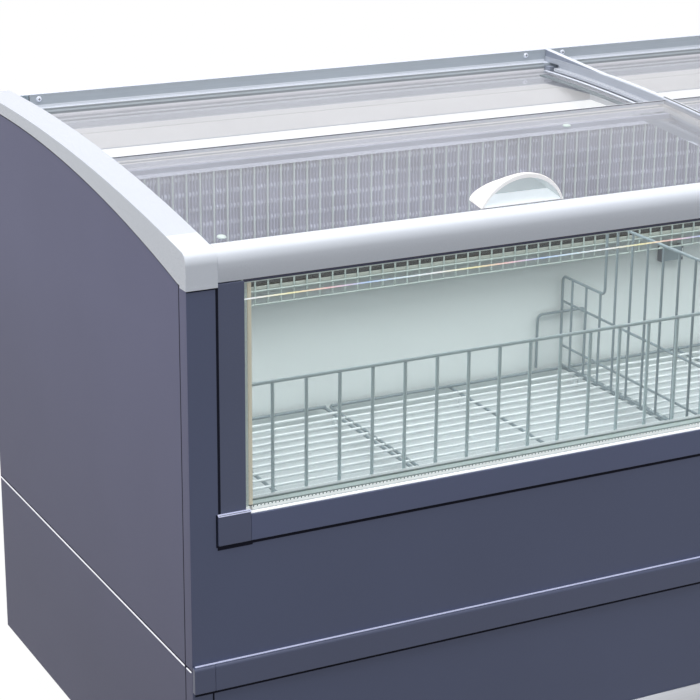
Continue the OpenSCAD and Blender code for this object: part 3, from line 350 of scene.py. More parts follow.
class Looks:
    """Every finish by its name; after a colour come roughness, mottle, bump and grain."""

    SLATE = Finish("slate_paint", (0.095, 0.114, 0.203), 0.44, 0.04, 0.03, 1100)
    # The front's slate paint made lighter for the ends, as painted light from the side, and darker towards
    # the bottom, as painted shade.
    SLATE_SIDE_PAINTED_LIGHT_AND_SHADE = Fading("slate_side_painted_light_and_shade", (0.203, 0.205, 0.334), 0.48, 0.04, 0.03, 1100, shine=0.2,
                        fade=((0.2, 0.64), (0.47, 0.815), (0.75, 1.0)))
    TRIM = Finish("slate_trim", (0.088, 0.105, 0.19), 0.36, 0.05, 0.02, 900)
    SILL = Finish("slate_sill", (0.107, 0.13, 0.24), 0.38, 0.04, 0.02, 900)
    FRAME = Finish("slate_frame", (0.094, 0.112, 0.194), 0.38, 0.05, 0.02, 900)
    SEAM_DARK = Finish("seam_shadow", srgb(26, 27, 40), 0.7, 0.2, shine=0.1)
    # A glowing pale strip along the ends' seam: painted highlight.
    SEAM_HIGHLIGHT = Finish("seam_painted_highlight", srgb(240, 240, 246), 0.35, 0.03, run=Grain.ALONG_Y, glow=0.6)
    CAP = Finish("cap_plastic", (0.87, 0.913, 1.0), 0.28, 0.015, 0.008, 1600, coat=0.2)
    # The cap plastic made darker for the caps' flat tops, as painted shade; the rounded edges keep the
    # lighter cap plastic, which makes a painted highlight along them.
    CAP_TOP_PAINTED_SHADE = Finish("cap_top_painted_shade", (0.66, 0.69, 0.78), 0.28, 0.02, 0.008, 1600, coat=0.2)
    WHITE = Finish("white_plastic", (0.84, 0.88, 0.98), 0.26, 0.015, 0.008, 1600, coat=0.25)
    # The handle cup glows: painted light. Its inside is darker, painted shade in the recess with a faint
    # glow, and the recess floor is much lighter and glows more, a painted pool of light.
    CUP = Finish("cup_shell_painted_light", (0.95, 0.92, 0.9), 0.3, 0.02, 0.01, 900, glow=0.2)
    CUP_INSIDE_PAINTED_SHADE = Finish("cup_inside_painted_shade", (0.67, 0.71, 0.71), 0.4, 0.02, 0.01, 900, glow=0.06)
    CUP_FLOOR_PAINTED_LIGHT = Finish("cup_floor_painted_light", (0.9, 0.94, 0.97), 0.35, 0.02, 0.01, 900, glow=0.42)
    # Glowing lavender strips on the waist trim's top edge and on the corner blocks' bevels: painted
    # highlight.
    BEVEL = Finish("bevel_painted_highlight", srgb(196, 200, 226), 0.35, 0.05, 0.02, run=Grain.ALONG_X, glow=0.34)
    RAIL = Finish("rail_paint", srgb(172, 180, 188), 0.38, 0.05, 0.02, run=Grain.ALONG_X)
    RAIL_SOFT = Finish("rail_fold", srgb(205, 210, 219), 0.4, 0.04, 0.02, run=Grain.ALONG_X)
    RAIL_STRIP = Finish("rail_strip", srgb(152, 158, 163), 0.5, 0.08, 0.04, run=Grain.ALONG_X)
    RAIL_END = Finish("rail_end_plate", srgb(140, 155, 166), 0.42, 0.06, 0.02)
    CREST = Finish("crest_aluminium", srgb(151, 158, 173), 0.4, metallic=0.1, run=Grain.ALONG_Y)
    WEB = Finish("web_aluminium", srgb(186, 191, 201), 0.36, 0.06, metallic=0.2, run=Grain.ALONG_Y)
    TRACK = Finish("track_aluminium", srgb(204, 208, 216), 0.34, 0.06, metallic=0.25, run=Grain.ALONG_Y)
    STEEL = Finish("bright_steel", srgb(222, 224, 228), 0.25, 0.05, 0.02, metallic=0.8)
    RUBBER = Finish("gasket_rubber", srgb(112, 126, 126), 0.62, 0.18, 0.08, run=Grain.ALONG_X)
    SEAL = Finish("pane_seal", srgb(186, 194, 200), 0.55, 0.05, 0.05, run=Grain.ALONG_X)
    # Pale grey that glows: painted light on the shaded rail seat and rear pane seals.
    SEAT_PAINTED_LIGHT = Finish("rail_seat_painted_light", srgb(188, 188, 193), 0.5, 0.04, run=Grain.ALONG_X, glow=0.22)
    BLACK_RUBBER = Finish("black_rubber", srgb(30, 32, 36), 0.6, 0.2, 0.06)
    LID_BAR = Finish("lid_bar_plastic", srgb(228, 226, 222), 0.4, 0.03, 0.02, run=Grain.ALONG_X)
    # The lid bar's plastic with a glow for the rear bar's shaded front face: painted light.
    LID_FACE_PAINTED_LIGHT = Finish("lid_bar_face_painted_light", srgb(230, 230, 234), 0.4, 0.03, run=Grain.ALONG_X, glow=0.16)
    LID_STRIPE = Finish("lid_bar_stripe", srgb(146, 147, 152), 0.45, 0.06)
    LINER = Finish("liner_paint", (0.77, 0.81, 0.815), 0.4, 0.025, 0.02, 420, cloud=2.2)
    # The rear liner grows darker towards the top: painted shade under the evaporator's overhang.
    REAR_LINER_PAINTED_SHADE = Fading("rear_liner_painted_shade", (0.82, 0.867, 0.862), 0.4, 0.025, 0.02, 420, cloud=2.2,
                        fade=((0.41, 1.0), (0.49, 0.92), (0.54, 0.79), (0.578, 0.66),
                              (0.592, 0.56), (0.603, 0.34)))
    # The liner paint made darker for the floor: painted shade under the racks.
    TUB_FLOOR_PAINTED_SHADE = Finish("tub_floor_painted_shade", (0.56, 0.605, 0.62), 0.4, 0.03, 0.02, 420, cloud=2.2)
    COVER = Finish("cover_paint", srgb(197, 197, 201), 0.36, 0.02, 0.015, 600)
    # Pale grey that glows: painted light on the rail seat's shaded faces.
    FLANGE_PAINTED_LIGHT = Finish("flange_painted_light", srgb(202, 202, 207), 0.4, 0.03, 0.03, 800, cloud=9.0, glow=0.28)
    # The cover's nose face glows white: painted light. Its foot and the pane seals' front ends are lavender
    # grey: painted shade with the lid glass's painted reflection.
    NOSE = Finish("nose_painted_light", srgb(250, 250, 250), 0.34, 0.02, 0.015, 600, glow=0.6)
    NOSE_FOOT_PAINTED_SHADE = Finish("nose_foot_painted_shade", srgb(196, 198, 212), 0.4, 0.04, 0.02, 600)
    # The drip tray's paint, made darker: painted shade under the evaporator cover.
    TRAY_PAINTED_SHADE = Finish("tray_painted_shade", srgb(166, 171, 163), 0.4, 0.04)
    SHADE = Finish("air_gap_shade", srgb(22, 24, 24), 0.85, 0.3, 0.15, 260)
    WIRE = Finish("coated_wire", srgb(128, 142, 148), 0.3, 0.06, 0.02, 500)
    # The coated wire made much lighter for the racks and the fence: painted light.
    RACK = Finish("rack_wire_painted_light", srgb(232, 238, 240), 0.3, 0.05, 0.02, 500)
    FENCE_PAINTED_LIGHT = Finish("fence_wire_painted_light", srgb(200, 217, 221), 0.3, 0.05, 0.02, 500)
    # The guard's pale wire, made darker: painted shade under the evaporator cover.
    GUARD_PAINTED_SHADE = Finish("pale_wire_painted_shade", srgb(162, 174, 170), 0.34, 0.04, 0.02, 500)
    FIN = Streaked("fin_aluminium", srgb(150, 153, 172), 0.5, 0.12, 0.05)
    TUBE = Finish("tube_aluminium", srgb(186, 189, 204), 0.45, 0.28, 0.1, 90.0, cloud=60.0)
    COPPER = Finish("copper", srgb(196, 128, 92), 0.32, 0.14, 0.05, metallic=0.9, cloud=20.0)
    FOAM = Finish("foam", srgb(226, 208, 160), 0.85, 0.1, 0.3, 300)
    ZINC = Finish("zinc_sheet", srgb(132, 134, 138), 0.45, 0.12, 0.04, 120, metallic=0.6, cloud=30.0)
    REAR = Finish("rear_paint", srgb(190, 193, 198), 0.42, 0.04, 0.03, 900)
    GRILLE = Finish("grille_paint", srgb(84, 88, 100), 0.45, 0.06, 0.03, 900)
    BLACK_STEEL = Finish("black_steel", srgb(38, 39, 42), 0.38, 0.15, 0.05, 500)
    BLACK = Finish("black_plastic", srgb(40, 41, 44), 0.48, 0.12, 0.06, 800)
    GREY = Finish("grey_plastic", srgb(188, 190, 194), 0.46, 0.05, 0.04, 800)
    RED = Finish("red_plastic", srgb(168, 44, 38), 0.3, 0.06, 0.02)
    BUMPER = Finish("bumper_aluminium", srgb(214, 216, 222), 0.33, 0.06, 0.04, metallic=0.5,
                    run=Grain.ALONG_X)
    # The spacer, the sealant bead, the pane edges and the glass edges glow: painted light on top of their own
    # colours.
    SPACER_PAINTED_LIGHT = Finish("spacer_bar", srgb(214, 206, 186), 0.45, run=Grain.ALONG_Z, glow=0.28)
    BEAD_PAINTED_LIGHT = Finish("white_sealant_painted_light", srgb(244, 247, 247), 0.42, 0.02, 0.05, 200, cloud=40.0, glow=0.4)
    PANE_EDGE_PAINTED_LIGHT = Finish("pane_edge_painted_light", srgb(200, 212, 208), 0.3, 0.04, 0.02, run=Grain.ALONG_X, glow=0.1)
    MINT_PAINTED_LIGHT = Finish("glass_edge_painted_light", srgb(164, 180, 178), 0.3, 0.04, 0.02, run=Grain.ALONG_X, glow=0.12)
    PRINT = Finish("pane_print", srgb(46, 50, 82), 0.3, 0.08)
    # Glowing rainbow bands along the protective film's edge: a painted sheen of light on the film.
    FILM_PAINTED_SHEEN = Banded("film_edge_painted_sheen", srgb(250, 250, 250), 0.3, glow=0.42, start=-0.867,
                  bands=(srgb(250, 252, 252), srgb(252, 246, 190), srgb(250, 206, 206),
                         srgb(190, 214, 250), srgb(226, 244, 252), srgb(250, 252, 252)))
    LID_GLASS = Glass("lid_glass", (0.87, 0.875, 0.895), (0.72, 0.735, 0.86), haze=0.09)
    PANE_GLASS = Glass("rear_pane_glass", (0.985, 0.985, 0.985), (0.74, 0.73, 0.78), haze=0.08)
    WINDOW_GLASS = Glass("window_glass", (0.985, 0.996, 0.992), haze=0.01, gloss=0.7)


def on_body(obj: Item, body: str, slot: str, *nodes: str) -> Item:
    """Puts a piece on its body and hides the nodes that it replaces.

    Args:
        obj: the piece.
        body: the body that it moves with.
        slot: the record's material slot; not used.
        nodes: the nodes that it replaces.

    Returns:
        The piece.
    """
    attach(obj, body)
    if nodes:
        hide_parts(*nodes)
    LOG.info("%s on %s", obj.name, body)
    return obj


def plain_mesh(obj: Item) -> None:
    """Turns a piece's modifiers into a plain mesh of its own.

    Args:
        obj: the piece.
    """
    graph = bpy.context.evaluated_depsgraph_get()
    shape = obj.evaluated_get(graph)
    mesh = bpy.data.meshes.new_from_object(shape, preserve_all_data_layers=True, depsgraph=graph)
    obj.modifiers.clear()
    old, obj.data = obj.data, mesh
    mesh.name = obj.name
    bpy.data.meshes.remove(old)


def linked(name: str, data: bpy.types.ID) -> Item:
    """A mesh, a lamp or a camera as an object in the scene.

    Args:
        name: the object's name.
        data: what it shows.

    Returns:
        The object.
    """
    obj = bpy.data.objects.new(name, data)
    bpy.context.scene.collection.objects.link(obj)
    return obj


def node_box(node: str) -> tuple[Vector, Vector]:
    """A node's lowest and highest corner in millimetres."""
    low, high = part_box(node)
    return low / MM, high / MM


def box2(a0: float, a1: float, b0: float, b1: float) -> list[Flat]:
    """A rectangle's corners."""
    return [(a0, b0), (a1, b0), (a1, b1), (a0, b1)]


def shares(a: float, b: float, count: int) -> list[float]:
    """Even places from one end to the other."""
    return [a + (b - a) * i / count for i in range(count + 1)]


def spread(a: float, b: float, pitch: float) -> list[float]:
    """Even places about one pitch apart."""
    return shares(a, b, round((b - a) / pitch))


def height(y: float, depth: float) -> float:
    """The arc's height at a place, lowered by a depth."""
    return ARC_Z + math.sqrt((ARC_R - depth) ** 2 - (y - ARC_Y) ** 2)


class Piece:
    """A piece's mesh, gathered in millimetres from bars, rings and turned shapes."""

    def __init__(self, name: str, finish: Look) -> None:
        """Starts an empty piece.

        Args:
            name: the piece's name.
            finish: the finish of what is added first.
        """
        self.name = name
        self.mesh = bmesh.new()
        self.finishes: list[Look] = []
        self.paint(finish)

    def paint(self, finish: Look) -> "Piece":
        """Sets the finish of what is added next.

        Args:
            finish: the finish.

        Returns:
            The piece itself.
        """
        if finish not in self.finishes:
            self.finishes.append(finish)
        self.index = self.finishes.index(finish)
        return self

    def loft(self, rings: Sequence[Sequence[Vector]], round_trip: bool = False) -> "Piece":
        """Joins rings of points into a closed skin.

        Args:
            rings: rings with the same number of points.
            round_trip: True where the last ring joins the first.

        Returns:
            The piece itself.
        """
        made = [[self.mesh.verts.new(p) for p in ring] for ring in rings]
        faces = []
        for a, b in zip(made, made[1:] + made[:1] if round_trip else made[1:]):
            for i in range(len(a)):
                j = (i + 1) % len(a)
                faces.append(self.mesh.faces.new((a[i], a[j], b[j], b[i])))
        if not round_trip:
            faces.append(self.mesh.faces.new(list(reversed(made[0]))))
            faces.append(self.mesh.faces.new(made[-1]))
        for face in faces:
            face.material_index = self.index
        bmesh.ops.recalc_face_normals(self.mesh, faces=faces)
        return self

    def bar_x(self, outline: Sequence[Flat], x0: float, x1: float) -> "Piece":
        """A bar along X with an outline in Y and Z."""
        return self.loft([[Vector((x, y, z)) for y, z in outline] for x in (x0, x1)])

    def bars_x(self, outline: Sequence[Flat], x0: float, x1: float) -> "Piece":
        """A bar along X and its mirror image."""
        return self.bar_x(outline, -x0, -x1).bar_x(outline, x0, x1)

    def block(self, x: Flat, y: Flat, z: Flat) -> "Piece":
        """A block between two places on each axis."""
        return self.bar_x(box2(*y, *z), *x)

    def blocks(self, x: Flat, y: Flat, z: Flat) -> "Piece":
        """A block and its mirror image in X."""
        return self.bars_x(box2(*y, *z), *x)

    def arc_bar(self, outline: Sequence[Flat], y0: float, y1: float, steps: int = 16) -> "Piece":
        """A bar along the arc, with an outline of X and depth below the arc."""
        return self.loft([[Vector((x, y, height(y, d))) for x, d in outline] for y in shares(y0, y1, steps)])

    def arc_bars(self, outline: Sequence[Flat], y0: float, y1: float, steps: int = 16) -> "Piece":
        """A bar along the arc and its mirror image in X."""
        return self.arc_bar([(-x, d) for x, d in outline], y0, y1, steps).arc_bar(outline, y0, y1, steps)

    def arc_slab(self, x: Flat, y: Flat, depth: Flat) -> "Piece":
        """A block with two ends in X, two places along the arc and two depths below it."""
        return self.bar_x([(b, height(b, d)) for b, d in box2(*y, *depth)], *x)

    def turned(self, profile: Sequence[Flat], base: Vector, turn: Matrix, sides: int) -> "Piece":
        """A turned shape.

        Args:
            profile: points as radius and height, from the axis back to the axis.
            base: where its axis starts.
            turn: how its axis leans.
            sides: how many sides it has.

        Returns:
            The piece itself.
        """
        rings = []
        for i in range(sides):
            a = 2 * math.pi * i / sides
            rings.append([base + turn @ Vector((r * math.cos(a), r * math.sin(a), h)) for r, h in profile])
        start = len(self.mesh.verts)
        self.loft(rings, round_trip=True)
        self.mesh.verts.ensure_lookup_table()
        bmesh.ops.remove_doubles(self.mesh, verts=self.mesh.verts[start:], dist=1e-4)
        return self

    def done(self, slot: str, *nodes: str, body: str = CABINET, edge: float = 0.0,
             crease: float = SHARP) -> None:
        """Makes the piece's object.

        Args:
            slot: the record's material slot; not used.
            nodes: the nodes that it replaces.
            body: the body that it rides on.
            edge: the radius of its rounded edges.
            crease: edges past this angle stay sharp.
        """
        bmesh.ops.scale(self.mesh, vec=(MM, MM, MM), verts=self.mesh.verts)
        on_body(finished(self.name, self.mesh, self.finishes, edge, crease), body, slot, *nodes)


def finished(name: str, shape: bmesh.types.BMesh, finishes: Sequence[Look], edge: float,
             crease: float = SHARP) -> Item:
    """A shape as an object with its finishes and either rounded edges or smooth shading.

    Args:
        name: the object's name.
        shape: the shape, which is used up.
        finishes: its finishes.
        edge: the radius of its edges in millimetres, or 0.
        crease: edges past this angle stay sharp where none are rounded.

    Returns:
        The object.
    """
    mesh = bpy.data.meshes.new(name)
    shape.to_mesh(mesh)
    shape.free()
    for finish in finishes:
        mesh.materials.append(finish.material())
    obj = linked(name, mesh)
    mesh.shade_smooth()
    if not edge:
        mesh.set_sharp_from_angle(angle=math.radians(crease))
        return obj
    bevel = obj.modifiers.new("round_edges", "BEVEL")
    bevel.width, bevel.segments = edge * MM, 2
    bevel.limit_method, bevel.angle_limit = "ANGLE", math.radians(30)
    bevel.use_clamp_overlap = True
    obj.modifiers.new("even_shading", "WEIGHTED_NORMAL").keep_sharp = True
    plain_mesh(obj)
    return obj


def dress(node: str, finish: Look, edge: float, wide: float = 0.0,
          where: Callable[[Vector], bool] | None = None) -> Item:
    """A copy of a node with rounded edges and its finish, which stands for the node.

    Args:
        node: the node.
        finish: its finish.
        edge: the radius of its edges, in millimetres.
        wide: a larger radius for some of its edges, in millimetres.
        where: says which edges get the larger radius, from an edge's middle.

    Returns:
        The piece.
    """
    shape = bmesh.new()
    shape.from_mesh(frame["nodes"][node].data)
    bmesh.ops.remove_doubles(shape, verts=shape.verts, dist=1e-5)
    bmesh.ops.dissolve_limit(shape, angle_limit=math.radians(0.15), verts=shape.verts, edges=shape.edges)
    if where:
        edges = [e for e in shape.edges if len(e.link_faces) == 2 and e.calc_face_angle(0) > 0.5
                 and where((e.verts[0].co + e.verts[1].co) / 2)]
        bmesh.ops.bevel(shape, geom=edges, offset=wide * MM, offset_type="OFFSET", segments=4, profile=0.5,
                        affect="EDGES", clamp_overlap=True)
    for face in shape.faces:
        face.material_index = 0
    return on_body(finished(node + "_dressed", shape, [finish], edge), BODY_OF[node], SLOT_OF[node], node)


def dress_all(edge: float, finish: Look, *nodes: str) -> None:
    """Dresses nodes that have the same finish and edges."""
    for node in nodes:
        dress(node, finish, edge)


def repaint(obj: Item, finish: Look, where: Callable[[Vector], bool]) -> None:
    """Gives some faces of a piece another finish.

    Args:
        obj: the piece.
        finish: their finish.
        where: says which faces get it, from a face's middle in metres.
    """
    obj.data.materials.append(finish.material())
    for face in obj.data.polygons:
        if where(face.center):
            face.material_index = len(obj.data.materials) - 1


def coat(node: str, finish: Look) -> None:
    """Gives a node that shows as it is its finish.

    Args:
        node: the node.
        finish: its finish.
    """
    for slot in frame["nodes"][node].material_slots:
        slot.material = finish.material()
    LOG.info("%s finished as %s", node, finish.name)


class Tree(Nodes):
    """A geometry node tree with named inputs."""

    family = "GeometryNode"

    def __init__(self, name: str, **inputs: str) -> None:
        """Starts a tree.

        Args:
            name: the tree's name.
            inputs: each input's kind of socket, by name.
        """
        super().__init__(bpy.data.node_groups.new(name, "GeometryNodeTree"))
        face = self.tree.interface
        for label, kind in {"Geometry": "Geometry", **inputs}.items():
            face.new_socket(label, in_out="INPUT", socket_type="NodeSocket" + kind)
        face.new_socket("Geometry", in_out="OUTPUT", socket_type="NodeSocketGeometry")
        self.start = self.add("NodeGroupInput")

    def painted(self, shape: Node, finish: str) -> Node:
        """A shape with the material of an input."""
        return self.add("SetMaterial", {"Geometry": shape, "Material": finish})

    def placed(self, points: object, shape: Node, turn: object) -> Node:
        """A shape at each of some points, turned."""
        return self.add("InstanceOnPoints", {"Points": points, "Instance": shape, "Rotation": turn})

    def close(self, shape: Node, finish: str = "") -> "Tree":
        """Ends the tree: real geometry with its material.

        Args:
            shape: the last node of the shape.
            finish: the input that holds the material, if it has none yet.

        Returns:
            The tree itself.
        """
        real = self.add("RealizeInstances", {"Geometry": shape})
        self.add("NodeGroupOutput", {0: self.painted(real, finish) if finish else real})
        return self

    def run(self, name: str, mesh: bpy.types.Mesh, **values: object) -> Item:
        """Runs the tree on a mesh and keeps the result as a plain mesh.

        Args:
            name: the new piece's name.
            mesh: what the tree starts from.
            values: the inputs by name.

        Returns:
            The piece.
        """
        obj = linked(name, mesh)
        modifier = obj.modifiers.new("made", "NODES")
        modifier.node_group = self.tree
        for item in self.tree.interface.items_tree:
            if item.in_out == "INPUT" and item.name in values:
                modifier[item.identifier] = values[item.name]
        plain_mesh(obj)
        return obj


def wire_tree() -> Tree:
    """Round wires along lines, with bent corners and closed ends.

    Returns:
        The tree.
    """
    tree = Tree("wires", Radius="Float", Bend="Float", Sides="Int", Finish="Material")
    line = tree.add("MeshToCurve", {"Mesh": "Geometry"})
    bend = {"Curve": line, "Count": 4, "Radius": "Bend", "Limit Radius": True}
    bent = tree.add("FilletCurve", bend, mode="POLY")
    ring = tree.add("CurvePrimitiveCircle", {"Resolution": "Sides", "Radius": "Radius"})
    skin = tree.add("CurveToMesh", {"Curve": bent, "Profile Curve": ring, "Fill Caps": True})
    return tree.close(tree.add("SetShadeSmooth", {"Geometry": skin}), "Finish")


def screw_tree() -> Tree:
    """Pan head screws with a cross recess at a mesh's points.

    Returns:
        The tree.
    """
    tree = Tree("screws", Radius="Float", Facing="Rotation", Finish="Material", Recess="Material")

    def portion(share: float) -> Node:
        """A share of the head's radius."""
        return tree.math("MULTIPLY", "Radius", share)

    def size(x: float, y: float, z: float) -> Node:
        """Three shares of the head's radius as a vector."""
        return tree.add("ShaderNodeCombineXYZ", {"X": portion(x), "Y": portion(y), "Z": portion(z)})

    def cone(low: object, top: Node, high: float) -> Node:
        """A cone with two radii and a height."""
        sizes = {"Radius Top": top, "Radius Bottom": low, "Depth": portion(high)}
        return tree.add("MeshCone", {"Vertices": 16, **sizes})

    def raised(shape: Node, up: float) -> Node:
        """A shape raised by a share of the head's radius."""
        return tree.add("Transform", {"Geometry": shape, "Translation": size(0, 0, up)})

    def joined(*shapes: Node) -> Node:
        """Shapes joined into one."""
        return tree.add("JoinGeometry", {0: list(shapes)})

    head = joined(cone("Radius", portion(0.86), 0.3), raised(cone(portion(0.86), portion(0.5), 0.2), 0.3))
    slots = [tree.add("MeshCube", {"Size": size(x, y, 0.06)}) for x, y in ((0.8, 0.16), (0.16, 0.8))]
    cross = joined(*(raised(slot, 0.5) for slot in slots))
    screw = joined(tree.painted(head, "Finish"), tree.painted(cross, "Recess"))
    return tree.close(tree.placed("Geometry", screw, "Facing"))


def row_tree() -> Tree:
    """Even rows of small plates, such as fins and dashes.

    Returns:
        The tree.
    """
    tree = Tree("rows", Count="Int", Start="Vector", Step="Vector", Plate="Vector", Sway="Float", Seed="Int",
                Finish="Material")
    line = tree.add("MeshLine", {"Count": "Count", "Start Location": "Start", "Offset": "Step"})
    plate = tree.add("MeshCube", {"Size": "Plate", "Vertices X": 2, "Vertices Y": 2, "Vertices Z": 4})
    sway = {"Min": tree.math("MULTIPLY", "Sway", -1.0), "Max": "Sway", "Seed": "Seed"}
    turn = tree.add("FunctionNodeRandomValue", sway, data_type="FLOAT")
    euler = tree.add("FunctionNodeEulerToRotation", {"Euler": tree.add("ShaderNodeCombineXYZ", {"Z": turn})})
    return tree.close(tree.placed(line, plate, euler), "Finish")


@dataclass
class Kit:
    """The trees that make what repeats."""

    wires: Tree = field(default_factory=wire_tree)
    screws: Tree = field(default_factory=screw_tree)
    rows: Tree = field(default_factory=row_tree)
    seed: int = 7

    def wire(self, name: str, lines: Sequence[Sequence[Spot]], radius: float, finish: Look, bend: float = 0.0,
             sides: int = 10) -> Item:
        """Round wires along lines.

        Args:
            name: the piece's name.
            lines: each wire's points in millimetres.
            radius: the wire's radius in millimetres.
            finish: its finish.
            bend: the radius of its bends in millimetres.
            sides: how many sides a wire has.

        Returns:
            The piece.
        """
        verts, edges = [], []
        for line in lines:
            start = len(verts)
            verts += [Vector(p) * MM for p in line]
            edges += [(start + i, start + i + 1) for i in range(len(line) - 1)]
        mesh = bpy.data.meshes.new(name)
        mesh.from_pydata(verts, edges, [])
        return self.wires.run(name, mesh, Radius=radius * MM, Bend=bend * MM, Sides=sides,
                              Finish=finish.material())

    def screw(self, name: str, points: Sequence[Spot], radius: float, facing: Spot,
              finish: Look = Looks.STEEL) -> Item:
        """Screw heads at points, looking one way.

        Args:
            name: the piece's name.
            points: their places in millimetres.
            radius: the head's radius in millimetres.
            facing: which way they look.
            finish: the heads' finish.

        Returns:
            The piece.
        """
        mesh = bpy.data.meshes.new(name)
        mesh.from_pydata([Vector(p) * MM for p in points], [], [])
        turn = Vector(facing).to_track_quat("Z", "Y").to_euler()
        return self.screws.run(name, mesh, Radius=radius * MM, Facing=turn, Finish=finish.material(),
                               Recess=Looks.SEAM_DARK.material())

    def row(self, name: str, start: Spot, end: Spot, count: int, plate: Spot, finish: Look,
            sway: float = 0.0) -> Item:
        """An even row of plates.

        Args:
            name: the piece's name.
            start: the first plate's middle in millimetres.
            end: the last plate's middle in millimetres.
            count: how many plates there are.
            plate: a plate's sizes in millimetres.
            finish: their finish.
            sway: how far they may turn about Z, in degrees.

        Returns:
            The piece.
        """
        step = (Vector(end) - Vector(start)) / (count - 1)
        return self.rows.run(
            name, bpy.data.meshes.new(name), Count=count, Start=Vector(start) * MM, Step=step * MM,
            Plate=Vector(plate) * MM, Sway=math.radians(sway), Seed=self.seed, Finish=finish.material())


@dataclass
class Cabinet:
    """The outside: panels, posts, trims, bumper, feet, rear panel and grille."""

    kit: Kit
    end_x: float = 955.0
    front_y: float = -365.0
    rear_y: float = 375.0
    return_y: float = -343.0
    seam_z: float = 330.0
    trim_z: float = 303.0
    upper_z: float = 338.0
    post_x: float = 916.0
    lower_post_x: float = 927.0
    rail_z: float = 826.0
    base_z: float = 80.0
    foam_z: float = 310.0
    sill_z: float = 494.0
    block_z: float = 534.5
    block_lap: float = 3.0
    block_l: float = 44.0
    rib_z: tuple[float, ...] = (450.0, 590.0, 730.0)
    rib_x: Flat = (40.0, 900.0)
    screw_x: float = 930.0
    screw_rows: Flat = (330.0, 855.0)
    side_screws: Flat = (500.0, 680.0)
    grille_x: float = 600.0
    grille_rows: Flat = (90.0, 292.0)

    def build(self) -> None:
        """Dresses the outside and adds its seams, painted highlights and shadows, and screws."""
        for side, _ in SIDES:
            # The ends take the slate copy with painted light and shade.
            dress_all(0.5, Looks.SLATE_SIDE_PAINTED_LIGHT_AND_SHADE, "side_panel_upper_" + side, "side_panel_lower_" + side)
            # The posts' outer faces take the same painted light and shade.
            repaint(dress("corner_post_" + side, Looks.SLATE, 0.9), Looks.SLATE_SIDE_PAINTED_LIGHT_AND_SHADE, self.on_end)
        dress_all(0.5, Looks.SLATE, "upper_front_panel", "lower_front_panel")
        # The lower posts' outer faces take the same painted light and shade.
        repaint(dress("lower_corner_posts", Looks.SLATE, 0.9), Looks.SLATE_SIDE_PAINTED_LIGHT_AND_SHADE, self.on_end)
        for node, finish, edge in (
                ("waist_trim", Looks.TRIM, 0.8), ("trim_end_blocks", Looks.TRIM, 1.4),
                ("bumper_rail", Looks.BUMPER, 1.0), ("rear_panel", Looks.REAR, 0.5),
                ("rear_grille", Looks.GRILLE, 0.4), ("base_plate", Looks.ZINC, 0.8),
                ("feet", Looks.BLACK, 1.2)):
            dress(node, finish, edge)
        coat("frame_uprights", Looks.ZINC)
        coat("insulation", Looks.FOAM)
        self.seams()
        self.rear_detail()

    def on_end(self, place: Vector) -> bool:
        """True for a face on the outside of an end, which takes the ends' painted light and shade."""
        return abs(place.x) / MM > self.end_x - 0.2

    def seams(self) -> None:
        """The painted highlight strips at the ends, the dark joint lines on the ends and by the posts, the
        painted shadows beside and under the corner blocks, under the waist trim and under the sill, and the
        filled joints.
        """
        # Painted highlight strips along the seam on both ends.
        bright = Piece("side_seam_strips", Looks.SEAM_HIGHLIGHT)
        dark = Piece("joint_lines_and_painted_shadows", Looks.SEAM_DARK)
        fill = Piece("front_joint_fills", Looks.SLATE)
        x, y, z, post = self.end_x, self.front_y, self.seam_z, self.post_x
        for y0, y1 in ((y + 4.0, self.return_y - 4.0), (self.return_y + 3.0, self.rear_y - 0.4)):
            for s in SIGNS:
                strip = ((-0.5, -1.8), (0.6, -1.5), (0.6, -0.7), (-0.5, 0.6))
                bright.loft([[Vector((s * (x + a), b, z + c)) for a, c in strip] for b in (y0, y1)])
        dark.blocks((x - 0.1, x + 0.25), (y + 0.8, self.rear_y - 0.6), (z + 0.8, z + 2.4))
        bend, thin, deep = self.return_y, (y - 0.2, y + 0.1), (y - 0.25, y + 0.1)
        dark.blocks((x - 0.1, x + 0.2), (bend - 0.8, bend + 0.8), (self.base_z + 1, self.rail_z - 1))
        block, inner = post + self.block_lap, post - self.block_l
        lower = self.lower_post_x
        dark.blocks((post - 1.7, post + 1.7), thin, (self.block_z, self.rail_z - 0.5))
        dark.blocks((lower - 1.1, lower + 1.1), thin, (self.base_z + 62, self.trim_z - 0.2))
        fill.blocks((post - 5, post + 5), (y - 0.06, y + 0.4), (self.upper_z + 0.3, self.sill_z - 0.2))
        # Painted shadows: dark bars beside and under the corner blocks, under the waist trim and under the
        # sill.
        dark.blocks((block, block + 1.7), deep, (self.sill_z - 2.5, self.block_z + 0.2))
        dark.blocks((block, inner), deep, (self.sill_z - 6.4, self.sill_z))
        dark.block((-x + 3, x - 3), deep, (self.trim_z - 6.8, self.trim_z - 0.3))
        dark.block((-inner, inner), deep, (self.sill_z - 4.6, self.sill_z))
        bright.done("bumper")
        dark.done("gasket")
        fill.done("panel_front")
        top = self.upper_z
        # A painted highlight strip along the waist trim's top edge.
        Piece("trim_top_painted_highlight", Looks.BEVEL).bar_x(
            [(y - 3.4, top - 0.6), (y - 3.4, top + 0.2), (y - 2.6, top + 0.5), (y - 0.2, top + 0.6),
             (y - 0.2, top - 1.0)], -x + 3, x - 3).done("trim_dark", edge=0.2)

